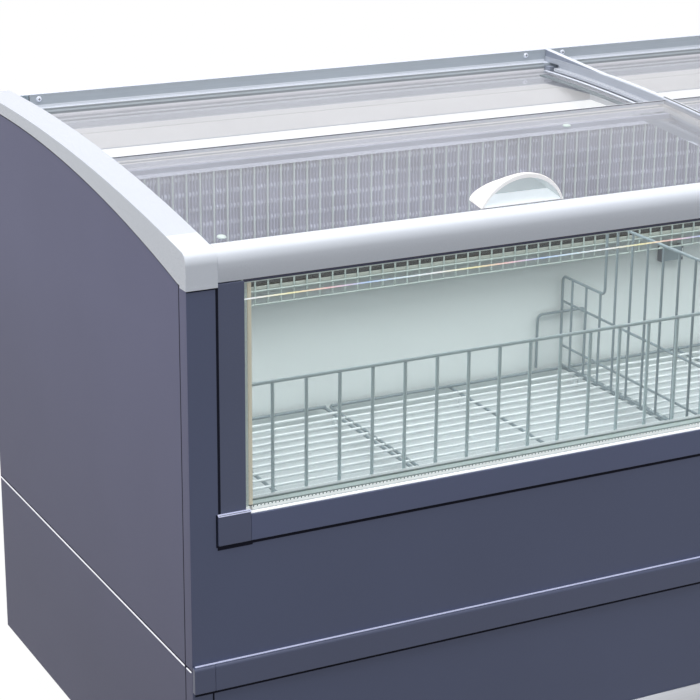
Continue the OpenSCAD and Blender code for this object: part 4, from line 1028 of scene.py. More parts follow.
    def rear_detail(self) -> None:
        """Pressed ribs, hems and screws of the rear."""
        y, foam, x = self.rear_y, self.foam_z, self.screw_x
        ribs = Piece("rear_panel_ribs", Looks.REAR)
        for z in self.rib_z:
            rib = ((-0.5, -14), (1.6, -9), (2.2, 0), (1.6, 9), (-0.5, 14))
            ribs.bars_x([(y + a, z + b) for a, b in rib], *self.rib_x)
        ribs.done("rear_paint", edge=0.8)
        hem = [(y - 0.3, foam - 9), (y + 1.2, foam - 8), (y + 1.2, foam + 8), (y - 0.3, foam + 9)]
        Piece("rear_joint_strip", Looks.REAR).bar_x(hem, 10 - self.end_x, self.end_x - 10).done(
            "rear_paint", edge=0.4)
        points = [(a, y + 0.4, z) for z in self.screw_rows for a in shares(-x, x, 8)]
        points += [(a, y + 0.4, z) for z in self.grille_rows for a in shares(-x, self.grille_x, 6)]
        points += [(s * x, y + 0.4, z) for s in SIGNS for z in self.side_screws]
        on_body(self.kit.screw("rear_screws", points, 4.6, (0, 1, 0)), CABINET, "bumper")


@dataclass
class FrontWindow:
    """The front window: sill, uprights, two panes, their spacer, beads and film edge."""

    kit: Kit
    window_x: float = 880.0
    sill_z: float = 529.0
    rail_z: float = 826.0
    outer_y: Flat = (-361.0, -356.0)
    inner_y: Flat = (-338.0, -333.0)
    film_z: float = 802.0
    dash_pitch: float = 5.0
    # The ends of the painted highlight strips on the corner blocks' bevels.
    bevel_highlight_x: Flat = (918.8, 875.2)

    def build(self) -> None:
        """Dresses the window and adds its seals."""
        dress("window_sill", Looks.SILL, 1.0)
        dress("window_corner_blocks", Looks.TRIM, 1.6)
        dress("window_uprights", Looks.FRAME, 0.9)
        coat("window_panes", Looks.WINDOW_GLASS)
        self.spacer()
        self.beads()

    def spacer(self) -> None:
        """The spacer between the panes, with its dashes."""
        x, z, rail = self.window_x, self.sill_z, self.rail_z
        y0, y1 = self.outer_y[1] + 0.1, self.inner_y[0] - 0.1
        full = (-x + 2, x - 2)
        # The spacer's bars, the bead face and the glass edge glow: painted light.
        bar = Piece("window_spacer_bars", Looks.SPACER_PAINTED_LIGHT)
        bar.blocks((x - 8.2, x - 12.8), (y0, y0 + 2.5), (z + 7, rail - 5))
        bar.block(full, (y0, y1), (rail, rail + 9.5))
        bar.paint(Looks.BLACK_RUBBER).blocks((x - 8.4, x - 12.2), (y0, y0 + 2.5), (z + 0.5, z + 7))
        bar.paint(Looks.BEAD_PAINTED_LIGHT).block(full, (y0, y0 + 1.5), (z, z + 5.6))
        bar.paint(Looks.MINT_PAINTED_LIGHT).block(full, (y0 + 1.5, y1), (z, z + 5.7))
        bar.paint(Looks.RUBBER).block(full, (y0 + 0.2, y0 + 2.4), (z + 5.5, z + 6.3))
        bar.block(full, (y1 - 2.8, y1), (z + 5.6, z + 7.0)).done("spacer", "window_spacer")
        end = x - 14
        dashes = self.kit.row("spacer_dashes", (-end, y0 + 0.1, z + 4.7), (end, y0 + 0.1, z + 4.7),
                              round(2 * end / self.dash_pitch), (1.5, 0.5, 2.0), Looks.RUBBER)
        on_body(dashes, CABINET, "gasket")

    def beads(self) -> None:
        """The white bead on the sill, the highlight strips on the corner blocks, the glass edges, the print
        under the rail and the film's edge; the bead, the glass edges and the film's edge glow as painted
        light, and the strips are painted highlights.
        """
        x, z, rail, film = self.window_x, self.sill_z, self.rail_z, self.film_z
        front, behind = self.outer_y
        # The sealant bead glows: painted light.
        Piece("sill_bead", Looks.BEAD_PAINTED_LIGHT).bar_x(
            [(front - 5.2, z + 0.1), (front - 5.2, z + 1.1), (front - 4.2, z + 1.8), (front - 2.0, z + 2.1),
             (front - 0.1, z + 2.1), (front - 0.1, z + 0.1)], -x + 4, x - 4).done("white_gloss", edge=0.5)
        # Painted highlight strips on the corner blocks' top bevels.
        Piece("block_bevel_painted_highlights", Looks.BEVEL).bars_x(
            [(-369.3, z + 3.6), (-368.6, z + 3.6), (-365.1, z + 5.2), (-365.1, z + 6.1), (-367.0, z + 5.9),
             (-369.3, z + 4.4)], *self.bevel_highlight_x).done("trim_dark", edge=0.2)
        # The pane edges glow: painted light.
        edge = Piece("pane_edges", Looks.PANE_EDGE_PAINTED_LIGHT)
        edge.blocks((x - 0.1, x - 7.0), (behind + 0.1, behind + 1.1), (z + 6, rail - 6))
        edge.block((-x + 0.3, x - 0.3), (front - 0.3, front - 0.1), (rail - 4.0, rail - 2.7))
        edge.done("spacer", edge=0.3)
        Piece("pane_print", Looks.PRINT).block(
            (-x + 0.2, x - 0.2), (front - 0.35, front - 0.1), (rail - 2.6, rail + 1.3)).done("frame_dark")
        # The film's edge carries the painted sheen.
        Piece("film_edge_painted_sheen", Looks.FILM_PAINTED_SHEEN).bar_x(
            [(front - 0.1, film - 0.9), (front - 0.7, film - 0.5), (front - 0.1, film + 0.9)],
            -x + 0.4, x - 0.4).done("glass")


@dataclass
class TopFrame:
    """The frame round the top: caps, rails, tracks, mullion and the fixed rear panes."""

    kit: Kit
    end_x: float = 955.0
    cap_x: float = 915.0
    front_y: float = -365.0
    rear_y: float = 375.0
    skirt_z: float = 822.6
    rail_y: float = -347.0
    rail_z: float = 850.0
    rail_r: float = 20.0
    rail_x: float = 914.7
    cap_r: float = 2700.0
    cap_low: float = 906.81
    rear_face_y: float = 366.0
    ledge_z: float = 896.51
    ledge_y: float = 349.0
    lip_z: float = 915.51
    edge_x: Flat = (914.5, 6.5)
    plate_x: float = 889.0
    seat_y: Flat = (322.6, 337.5)
    seat_z: float = 877.6
    screw_z: float = 908.5
    screw_x: tuple[float, ...] = (-874.0, -42.0, 28.0, 874.0)
    pane_x: Flat = (911.0, 17.0)
    pane_y: Flat = (35.0, 339.75)
    pane_depth: Flat = (38.0, 43.0)

    def build(self) -> None:
        """Dresses the top frame and adds its seals and screws."""
        for side, _ in SIDES:
            cap = dress("end_cap_" + side, Looks.CAP, 0.5, 3.5, self.on_cap_edge)
            # The caps' flat tops take painted shade, which leaves a painted highlight on the rounded edges.
            repaint(cap, Looks.CAP_TOP_PAINTED_SHADE, self.on_cap_top)
            dress("lid_track_" + side, Looks.TRACK, 0.4)
        self.front_rail()
        dress("rear_rail", Looks.RAIL, 0.8)
        repaint(dress("mullion", Looks.TRACK, 0.5), Looks.WEB, lambda place: abs(place.x) < 6.5 * MM)
        coat("rear_panes", Looks.PANE_GLASS)
        # The pane seals glow as painted light; their front ends take the nose foot's painted shade and
        # reflection.
        repaint(dress("rear_pane_seals", Looks.SEAT_PAINTED_LIGHT, 0.3), Looks.NOSE_FOOT_PAINTED_SHADE, lambda place: place.y < 0.004)
        self.cap_skirts()
        self.rail_detail()
        self.mullion_detail()
        self.pane_seals()

    def front_rail(self) -> None:
        """The front rail: a half-round top on a face that draws in a little towards its lower edge."""
        y, z, r, x = self.rail_y, self.rail_z, self.rail_r, self.rail_x
        dome = [(y + r * math.cos(a), z + r * math.sin(a)) for a in shares(0.0, math.pi, 20)]
        skirt = [(-366.4, 842.0), (-364.4, 832.0), (-363.5, 827.4), (-361.3, 827.4), (-361.3, 836.0),
                 (-332.7, 836.0), (-332.7, 826.2), (-327.2, 826.2)]
        rail = Piece("front_rail_skin", Looks.CAP).bar_x(dome + skirt, -x, x)
        rail.done("white_gloss", "front_rail", crease=25.0)
        inset = [(y + 0.975 * (a - y), z + 0.975 * (b - z)) for a, b in dome] + [(-364, 829.0), (-328, 829.0)]
        Piece("rail_joint_fills", Looks.RAIL_SOFT).bars_x(inset, x + 0.9, x - 0.5).done("white_gloss")

    @staticmethod
    def on_cap_top(place: Vector) -> bool:
        """True for a face on top of a cap."""
        return place.y > -0.3 and abs(place.z / MM - height(place.y / MM, 0.0)) < 0.4

    @staticmethod
    def on_cap_edge(place: Vector) -> bool:
        """True for an edge of a cap's outer skin, which gets a wide round.

        Args:
            place: the edge's middle in metres.

        Returns:
            True for such an edge.
        """
        x, y, z = (c / MM for c in place)
        if y < -345 and z > 830:
            return abs(x) > 940 and abs(z - 852) < 24
        return abs(z - height(min(y, 374.9), 0.0)) < 0.6

    def cap_skirts(self) -> None:
        """The caps' lower lips at the front, a little lower than the rail, and the gaps below the caps."""
        end, cap, front, low = self.end_x, self.cap_x, self.front_y, self.skirt_z
        lips = Piece("cap_lips", Looks.CAP)
        lips.blocks((end + 0.8, cap + 0.1), (front - 2.08, front - 0.2), (low, low + 4.6))
        lips.blocks((end + 1.08, end + 0.1), (front - 1.6, front + 17), (low, low + 4.6)).done("white_gloss")
        shade = Piece("cap_shadow_gaps", Looks.SEAM_DARK)
        shade.blocks((end - 0.2, cap + 0.2), (front - 0.3, front + 0.2), (low - 2.2, low - 0.1))
        for s in SIGNS:
            rings = []
            for y in shares(self.rail_y, self.rear_y - 1, 24):
                z = self.cap_low - self.cap_r + math.sqrt(self.cap_r ** 2 - (y - ARC_Y) ** 2)
                rings.append([Vector((s * x, y, h)) for x, h in box2(end - 0.1, end + 0.3, z - 1.8, z + 0.1)])
            shade.loft(rings)
        shade.done("gasket")

    def rail_detail(self) -> None:
        """The rear rail's end plates, its screws, the groove and the gasket under its ledge."""
        y, low, top, lip = self.rear_face_y, self.ledge_y, self.ledge_z, self.lip_z
        run, (end, middle), plate = self.pane_x, self.edge_x, self.plate_x
        (near, far), seat_z = self.seat_y, self.seat_z
        Piece("rail_end_plates", Looks.RAIL_END).blocks(
            (end, plate + 0.5), (y - 1.2, y - 0.05), (top + 0.4, lip - 0.5)).done("rail_grey", edge=0.3)
        Piece("rail_groove", Looks.BLACK_RUBBER).blocks(
            (plate + 0.4, plate - 0.8), (y - 0.4, y - 0.05), (top + 0.4, lip - 0.8)).done("gasket")
        Piece("rail_gasket", Looks.SEAL).blocks(
            run, (low - 1.2, low + 0.02), (top - 5.1, top - 2.2)).done("gasket", edge=0.4)
        strips = Piece("rail_strips", Looks.RAIL_STRIP)
        strips.blocks(run, (low - 0.4, low + 3.0), (top - 2.1, top + 0.45))
        strips.blocks(run, (low - 0.4, low + 0.02), (top - 8.4, top - 5.2)).done("gasket")
        Piece("rail_folds", Looks.RAIL_SOFT).bars_x(
            [(y - 0.5, top + 2.8), (y - 0.05, top + 3.2), (y - 0.05, top + 0.45), (y - 7.0, top + 0.45),
             (y - 7.0, top + 0.5), (y - 1.2, top + 0.8)], plate, middle).done("rail_grey")
        # The seat's faces glow: painted light on faces that lie in shade.
        seat = Piece("rail_seat_face", Looks.FLANGE_PAINTED_LIGHT)
        seat.blocks(run, (near, near + 0.3), (seat_z - 8.8, seat_z))
        seat.blocks(run, (low - 0.2, low + 0.02), (seat_z + 0.2, top - 8.5))
        seat.paint(Looks.SEAT_PAINTED_LIGHT).blocks(run, (near, far), (seat_z, seat_z + 0.3)).done("rail_grey")
        skin = Piece("rail_white_edges", Looks.WHITE)
        skin.block((-end, end), (y - 0.2, self.rear_y), (lip - 0.4, lip + 0.5))
        skin.blocks((end, middle), (low + 3.0, y - 0.2), (top - 0.6, top + 0.4)).done("white_gloss", edge=0.3)
        points = [(x, y - 0.6, self.screw_z) for x in self.screw_x]
        on_body(self.kit.screw("rail_screws", points, 4.4, (0, -1, 0), Looks.WHITE), CABINET, "white_gloss")

    def mullion_detail(self) -> None:
        """The mullion's white ridge, its raised rear part with a painted highlight strip on top, and the
        blocks at its rear end.
        """
        half, start, end = 4.3, 183.0, 365.6
        ridge = Piece("mullion_ridge", Looks.WHITE)
        ridge.arc_bar(box2(-half, half, 18.2, 20.0), -326, 186)
        # The crest, and a thin white strip on its top: painted highlight.
        for finish, low, high in ((Looks.CREST, 0.0, 1.0), (Looks.WHITE, 1.05, 1.7)):
            rings = []
            for y in shares(start, end, 12):
                top = 900.7 + (y - start) * 0.0712
                base = min(height(y, 21.0), top) if low == 0.0 else top + low
                rings.append([Vector((x, y, z)) for x, z in box2(-half, half, base, top + high)])
            ridge.paint(finish).loft(rings)
        ridge.paint(Looks.CREST).arc_bars(box2(6.5, 15.8, 31.4, 37.8), 334, 348.6, 2).done("white_gloss")

    def pane_seals(self) -> None:
        """The white borders, dark lines and ribbed seals beside the mullion."""
        (y0, y1), (top, under) = self.pane_y, self.pane_depth
        Piece("pane_borders", Looks.WHITE).arc_bars(
            box2(17.6, 22.6, top - 0.1, top - 1.3), y0, y1).done("cover_white", edge=0.3)
        seal = Piece("pane_ribbed_seals", Looks.RUBBER)
        for x in (23.4, 26.4, 29.4):
            rib = ((0.0, 0.1), (2.4, 0.1), (2.0, 2.8), (0.4, 2.8))
            seal.arc_bars([(x + a, under + b) for a, b in rib], y0, y1)
        seal.done("gasket")
        line = Piece("pane_shadow_lines", Looks.BLACK_RUBBER)
        line.arc_bar(box2(-1.4, 1.4, 18.25, 17.9), -326, 38)
        line.arc_bars(box2(15.2, 17.5, top - 0.1, top - 0.6), y0, y1).done("gasket")


@dataclass
class Handle:
    """A half-moon cup on a lid's glass, open to the front."""

    side: str
    sign: int
    x: float = 455.0
    y: float = -281.05
    z: float = 859.79
    tilt: float = 8.477
    width: float = 124.0
    height: float = 42.0
    depth: float = 34.0
    wall: float = 4.0

    def arch(self, depth: float, width: float, rise: float, base: float, full: float) -> list[Vector]:
        """An arch on its chord, as it stands on the lid.

        Args:
            depth: how far behind the mouth it is.
            width: its chord.
            rise: its rise above its base.
            base: its base above the glass.
            full: 0 for a part of a circle, up to 1 for half an ellipse.

        Returns:
            The arch's points from right to left.
        """
        radius = (width * width / 4 + rise * rise) / (2 * rise)
        turn = Matrix.Rotation(math.radians(self.tilt), 3, "X")
        middle = Vector((self.sign * self.x, self.y, self.z))
        points = []
        for a in shares(0.0, math.pi, 28):
            x = width / 2 * math.cos(a)
            up = math.sqrt(max(0.0, radius * radius - x * x)) - radius + rise
            up = base + up + (rise * math.sin(a) - up) * full
            points.append(middle + turn @ Vector((x, depth - self.depth / 2, up)))
        return points

    def build(self) -> None:
        """Makes the cup's rounded shell with its recess."""
        w, h, d, t = self.width, self.height, self.depth, self.wall
        outer = [(d, 0.96, 0.5, 0.9), (d - 0.8, 0.985, 0.56, 0.9), (d - 3, 1.0, 0.62, 0.85),
                 (d - 9, 1.0, 0.72, 0.6), (d - 16, 1.0, 0.83, 0.4), (d - 24, 1.0, 0.94, 0.2),
                 (1.4, 1.0, 1.0, 0.0), (0.2, 0.992, 0.98, 0.0)]
        rings = [self.arch(a, w * b, h * c, 0.1, full) for a, b, c, full in outer]
        mouth_w, mouth_h = w - 2 * t, h - t - 3.0
        inner = [(0, 1.005, 1.005, 1.0), (0.8, 0.99, 0.99, 1.2), (8, 0.98, 0.94, 2.0), (16, 0.97, 0.84, 3.0),
                 (24, 0.95, 0.72, 4.0), (28, 0.93, 0.66, 4.6), (29, 0.92, 0.62, 5.0)]
        rings += [self.arch(a, mouth_w * b, mouth_h * c, base, 0.0) for a, b, c, base in inner]
        # The cup's shell glows as painted light.
        cup = Piece("lid_cup_" + self.side, Looks.CUP).loft(rings)
        cup.mesh.faces.ensure_lookup_table()
        count = len(rings[0])
        # Inside faces take painted shade, and the recess floor takes painted light.
        for k, face in list(enumerate(cup.mesh.faces))[len(outer) * count:]:
            on_floor = k % count == count - 1 and k < len(cup.mesh.faces) - 2
            face.material_index = cup.paint(Looks.CUP_FLOOR_PAINTED_LIGHT if on_floor else Looks.CUP_INSIDE_PAINTED_SHADE).index
        cup.mesh.faces[-2].material_index = 0
        cup.done("white_gloss", "lid_handle_" + self.side, body="lid_" + self.side, crease=50.0)


@dataclass
class Lid:
    """One sliding lid: glass, bars, handle, rear lip and buffers."""

    side: str
    sign: int
    rear_y: float = 27.0
    x: Flat = (911.0, 7.0)
    depth: Flat = (20.0, 25.0)
    bar_w: float = 18.0
    bar_gap: float = 12.5
    pads: tuple[Flat, ...] = ((873.5, -285.0), (224.0, -41.0))

    def build(self) -> None:
        """Dresses the lid."""
        body, rear, s, (top, under) = "lid_" + self.side, self.rear_y, self.sign, self.depth
        x0, x1 = self.x
        coat("lid_glass_" + self.side, Looks.LID_GLASS)
        # The rear bar's front face glows: painted light.
        repaint(dress("lid_frame_" + self.side, Looks.LID_BAR, 0.6), Looks.LID_FACE_PAINTED_LIGHT,
                lambda place: abs(place.y / MM - (rear - self.bar_w)) < 0.3)
        Handle(self.side, s).build()
        full, inside = (s * x0, s * x1), (s * (x0 - self.bar_gap), s * (x1 + self.bar_gap))
        lip = Piece("lid_rear_lip_" + self.side, Looks.BLACK_RUBBER)
        lip.arc_slab(full, (rear - 2.5, rear - 0.2), (top - 0.35, top - 0.05))
        lip.paint(Looks.WHITE).arc_slab(full, (rear - 0.2, rear + 1.3), (top - 0.4, under + 0.4))
        lip.done("gasket", body=body)
        Piece("lid_bar_stripes_" + self.side, Looks.LID_STRIPE).arc_slab(
            inside, (rear - 15.0, rear - 9.5), (under - 0.4, under - 0.05)).done("lid_bar", body=body)
        # The pads glow: painted light.
        pads = Piece("lid_pads_" + self.side, Looks.PANE_EDGE_PAINTED_LIGHT)
        for x, y in self.pads:
            place = Vector((s * x, y, height(y, top) - 0.05))
            lean = Matrix.Rotation(math.asin((height(y + 1, top) - height(y - 1, top)) / 2), 3, "X")
            pads.turned([(0.0, 0.0), (6.0, 0.0), (5.4, 1.3), (3.0, 2.1), (0.0, 2.3)], place, lean, 20)
        pads.done("white_gloss", body=body)


@dataclass
class Interior:
    """The tub's inside: liners, evaporator, guard, racks, fence and thermometer holder."""

    kit: Kit
    in_x: float = 898.0
    floor_z: float = 370.0
    rack_z: float = 400.0
    wire: float = 5.0
    rack_l: float = 446.5
    rack_gap: float = 2.0
    rack_count: int = 4
    rack_y: Flat = (-313.0, 278.0)
    rack_pitch: float = 26.0
    fence_y: float = -287.0
    fence_h: float = 268.0
    fence_pitch: float = 47.4
    fence_end: float = 39.2
    guard_wire: float = 3.0
    guard_row: float = 23.0
    guard_pitch: float = 21.85
    fin_x: float = 853.0
    fin_y: Flat = (240.0, 276.0)
    fin_z: Flat = (641.51, 806.51)
    fin_pitch: float = 5.5
    tube_z: float = 652.01
    tube_pitch: float = 24.0
    tube_rows: int = 7
    rear_in: float = 280.0
    flange_y: float = 322.8

    def build(self) -> None:
        """Dresses the inside and makes its wires and fins."""
        # The tub floor carries painted shade.
        dress("liner_floor", Looks.TUB_FLOOR_PAINTED_SHADE, 0.5)
        # The rear wall carries painted shade under the evaporator.
        dress("liner_rear", Looks.REAR_LINER_PAINTED_SHADE, 0.5)
        dress("liner_ends", Looks.LINER, 0.5)
        dress("evaporator_cover", Looks.COVER, 0.8)
        self.cover_faces()
        # The drip tray carries painted shade.
        dress("drip_tray", Looks.TRAY_PAINTED_SHADE, 0.4)
        dress("evaporator_tubes", Looks.COPPER, 0.0)
        self.evaporator()
        self.guard()
        self.racks()
        self.fence()
        self.holder()

    def cover_faces(self) -> None:
        """The cover's nose face in glowing white, as painted light, over a foot in painted shade and
        reflection, and the liner's rear flange face.
        """
        lo, hi = node_box("evaporator_cover")
        base, full, face = self.fin_z[1], (lo.x + 0.5, hi.x - 0.5), (lo.y - 0.4, lo.y + 0.1)
        # Glowing white above, as painted light; the lavender foot and top lip are painted shade and
        # reflection.
        nose = Piece("cover_nose_face", Looks.NOSE).block(full, face, (base + 20, base + 50.6))
        nose.paint(Looks.NOSE_FOOT_PAINTED_SHADE).block(full, face, (base + 0.5, base + 20))
        nose.block(full, (lo.y - 0.5, lo.y + 2.0), (base + 49.6, base + 51.2)).done("cover_white")
        Piece("flange_face", Looks.COVER).block(
            full, (self.rear_in + 0.3, self.flange_y), (hi.z - 0.1, hi.z + 0.3)).done("liner", edge=0.1)

    def evaporator(self) -> None:
        """The fin pack with its tube rows and end plates, and the dark gap under it."""
        x, (y0, y1), (z0, z1) = self.fin_x, self.fin_y, self.fin_z
        mid_y, mid_z = (y0 + y1) / 2, (z0 + z1) / 2
        fins = self.kit.row("fin_pack", (-x, mid_y, mid_z), (x, mid_y, mid_z), round(2 * x / self.fin_pitch),
                            (0.7, y1 - y0, z1 - z0), Looks.FIN, 1.2)
        on_body(fins, CABINET, "fin", "evaporator_fins")
        rows = [self.tube_z + row * self.tube_pitch for row in range(self.tube_rows)]
        tubes = [[(-x - 2, y, z), (x + 2, y, z)] for z in rows for y in (y0 + 8, y1 - 8)]
        on_body(self.kit.wire("fin_tubes", tubes, 4.2, Looks.TUBE, sides=12), CABINET, "fin")
        plates = Piece("fin_end_plates", Looks.ZINC).blocks((x + 0.6, x + 2.0), (y0, self.rear_in), (z0, z1))
        plates.paint(Looks.FIN).block((-x, x), (y0 + 7, y0 + 8), (z0, z1)).done("base_steel", edge=0.4)
        Piece("air_gap_shade", Looks.SHADE).block(
            (-x, x), (y0 + 2, y0 + 3.5), (z0 - 22, z0 - 0.5)).done("plastic_black", edge=0.3)

    def guard(self) -> None:
        """The guard's upright wires and cross wires, with legs from the rear wall."""
        lo, hi = node_box("wire_guard")
        w = self.guard_wire / 2
        y, x0, x1, z0, z1 = lo.y + w, lo.x + w, hi.x - w, lo.z + w, hi.z - w
        lines = [[(x, y, z0), (x, y, z1)] for x in spread(x0, x1, self.guard_pitch)]
        lines += [[(x0, y - 0.6, z), (x1, y - 0.6, z)] for z in (z0, lo.z + self.guard_row, z1)]
        lines += [[(x, y, z0), (x, self.rear_in, z0)] for x in (x0, x1)]
        # The guard wires carry painted shade.
        wires = self.kit.wire("guard_wires", lines, w, Looks.GUARD_PAINTED_SHADE, sides=8)
        on_body(wires, CABINET, "cover_white", "wire_guard")

    def racks(self) -> None:
        """The four floor racks: lengthwise wires on cross bars with legs."""
        r, (y0, y1) = self.wire / 2, self.rack_y
        z, low = self.rack_z - r, self.rack_z - 2.7 * r
        count = int((y1 - self.rack_pitch - y0 - r) / self.rack_pitch) + 1
        wires, bars = [], []
        for i in range(self.rack_count):
            x0 = -self.in_x + self.rack_gap + i * (self.rack_l + self.rack_gap)
            x1 = x0 + self.rack_l
            rows = [y0 + r + k * self.rack_pitch for k in range(count)]
            wires += [[(x0 + 0.2, y, z), (x1 - 0.2, y, z)] for y in rows]
            a, b, mid = x0 + 4.0, x1 - 4.0, (x0 + x1) / 2
            bars += [[(a, y0, low), (a, y1 - r, low + 1.5), (b, y1 - r, low + 1.5), (b, y0, low)],
                     [(mid, y0, low), (mid, y1 - 4, low)], [(a, y1 - 10, z), (b, y1 - 10, z)]]
            legs = [(x, y) for x in (a, mid, b) for y in (y0 + 10, y1 - 36)]
            wires += [[(x, y, low), (x, y, self.floor_z + 0.2)] for x, y in legs]
        # The rack wires are painted light.
        on_body(self.kit.wire("rack_wires", wires, 2.3, Looks.RACK, sides=8), CABINET, "wire", "floor_racks")
        on_body(self.kit.wire("rack_bars", bars, 2.6, Looks.WIRE, 9.0), CABINET, "wire")

    def fence(self) -> None:
        """The front fence: upright wires between two long ones."""
        r = self.wire / 2
        y, x = self.fence_y + r, self.in_x - self.wire
        z0, z1 = self.rack_z + r, self.rack_z + self.fence_h - r
        inner = x - self.fence_end
        lines = [[(a, y, z0), (a, y, z1)] for a in [-x, *spread(-inner, inner, self.fence_pitch), x]]
        lines += [[(-x - 2, y - r, z), (x + 2, y - r, z)] for z in (z0, z1)]
        # The fence wires are painted light.
        on_body(self.kit.wire("fence_wires", lines, 2.4, Looks.FENCE_PAINTED_LIGHT), CABINET, "wire", "front_fence")

    @staticmethod
    def holder() -> None:
        """The thermometer holder: a plate between two slotted brackets."""
        lo, hi = node_box("thermometer_holder")
        plate = Piece("thermometer_plate", Looks.WIRE)
        plate.block((lo.x + 4, hi.x - 4), (lo.y, lo.y + 2), (lo.z, hi.z))
        for x in (lo.x, hi.x - 4):
            plate.paint(Looks.GRILLE).block((x, x + 4), (lo.y, hi.y), (lo.z - 1.0, hi.z + 1.0))
            plate.paint(Looks.LINER)
            for z in (lo.z + 7, (lo.z + hi.z) / 2, hi.z - 7):
                plate.block((x + 1.2, x + 2.8), (lo.y - 0.3, lo.y + 0.2), (z - 2.6, z + 2.6))
        plate.done("wire", "thermometer_holder", edge=0.3)


@dataclass
class Divider:
    """The wire divider that slides along the tub."""

    kit: Kit
    z: float = 400.3
    y: Flat = (-278.0, 276.0)
    high: float = 277.0
    low: float = 158.0
    low_l: float = 125.0
    rows: Flat = (36.0, 112.0)
    first: float = 242.8
    pitch: float = 40.96
    wire: float = 5.0
    loop_w: float = 94.0
    loop_h: float = 94.0

    def build(self) -> None:
        """Makes the divider's bent outline, its wires and its loop foot."""
        lo, hi = node_box("wire_divider")
        x, r = (lo.x + hi.x) / 2, self.wire / 2
        y0, y1 = self.y[0] + r, self.y[1] - r
        step = self.y[1] - self.low_l
        z0, zl, zh = self.z + r, self.z + self.low - r, self.z + self.high - r
        outline = [(x, y0, z0), (x, y0, zh), (x, step, zh), (x, step, zl), (x, y1, zl), (x, y1, z0)]
        half, top = self.loop_w / 2, self.z + self.loop_h
        loop = [(x - half, y1, z0), (x - half, y1, top), (x + half, y1, top), (x + half, y1, z0)]
        bent = self.kit.wire("divider_outline", [outline, loop], 2.4, Looks.WIRE, 9.0, 12)
        on_body(bent, "divider", "wire", "wire_divider")
        lines, y = [], self.first
        while y > y0 + 8:
            lines.append([(x - 1.2, y, z0), (x - 1.2, y, zl if y > step else zh)])
            y -= self.pitch
        lines += [[(x + 1.2, y0, self.z + h), (x + 1.2, y1, self.z + h)] for h in self.rows]
        lines += [[(x + 0.6, y0, z0), (x + 0.6, y1, z0)]]
        on_body(self.kit.wire("divider_wires", lines, 2.1, Looks.WIRE), "divider", "wire")


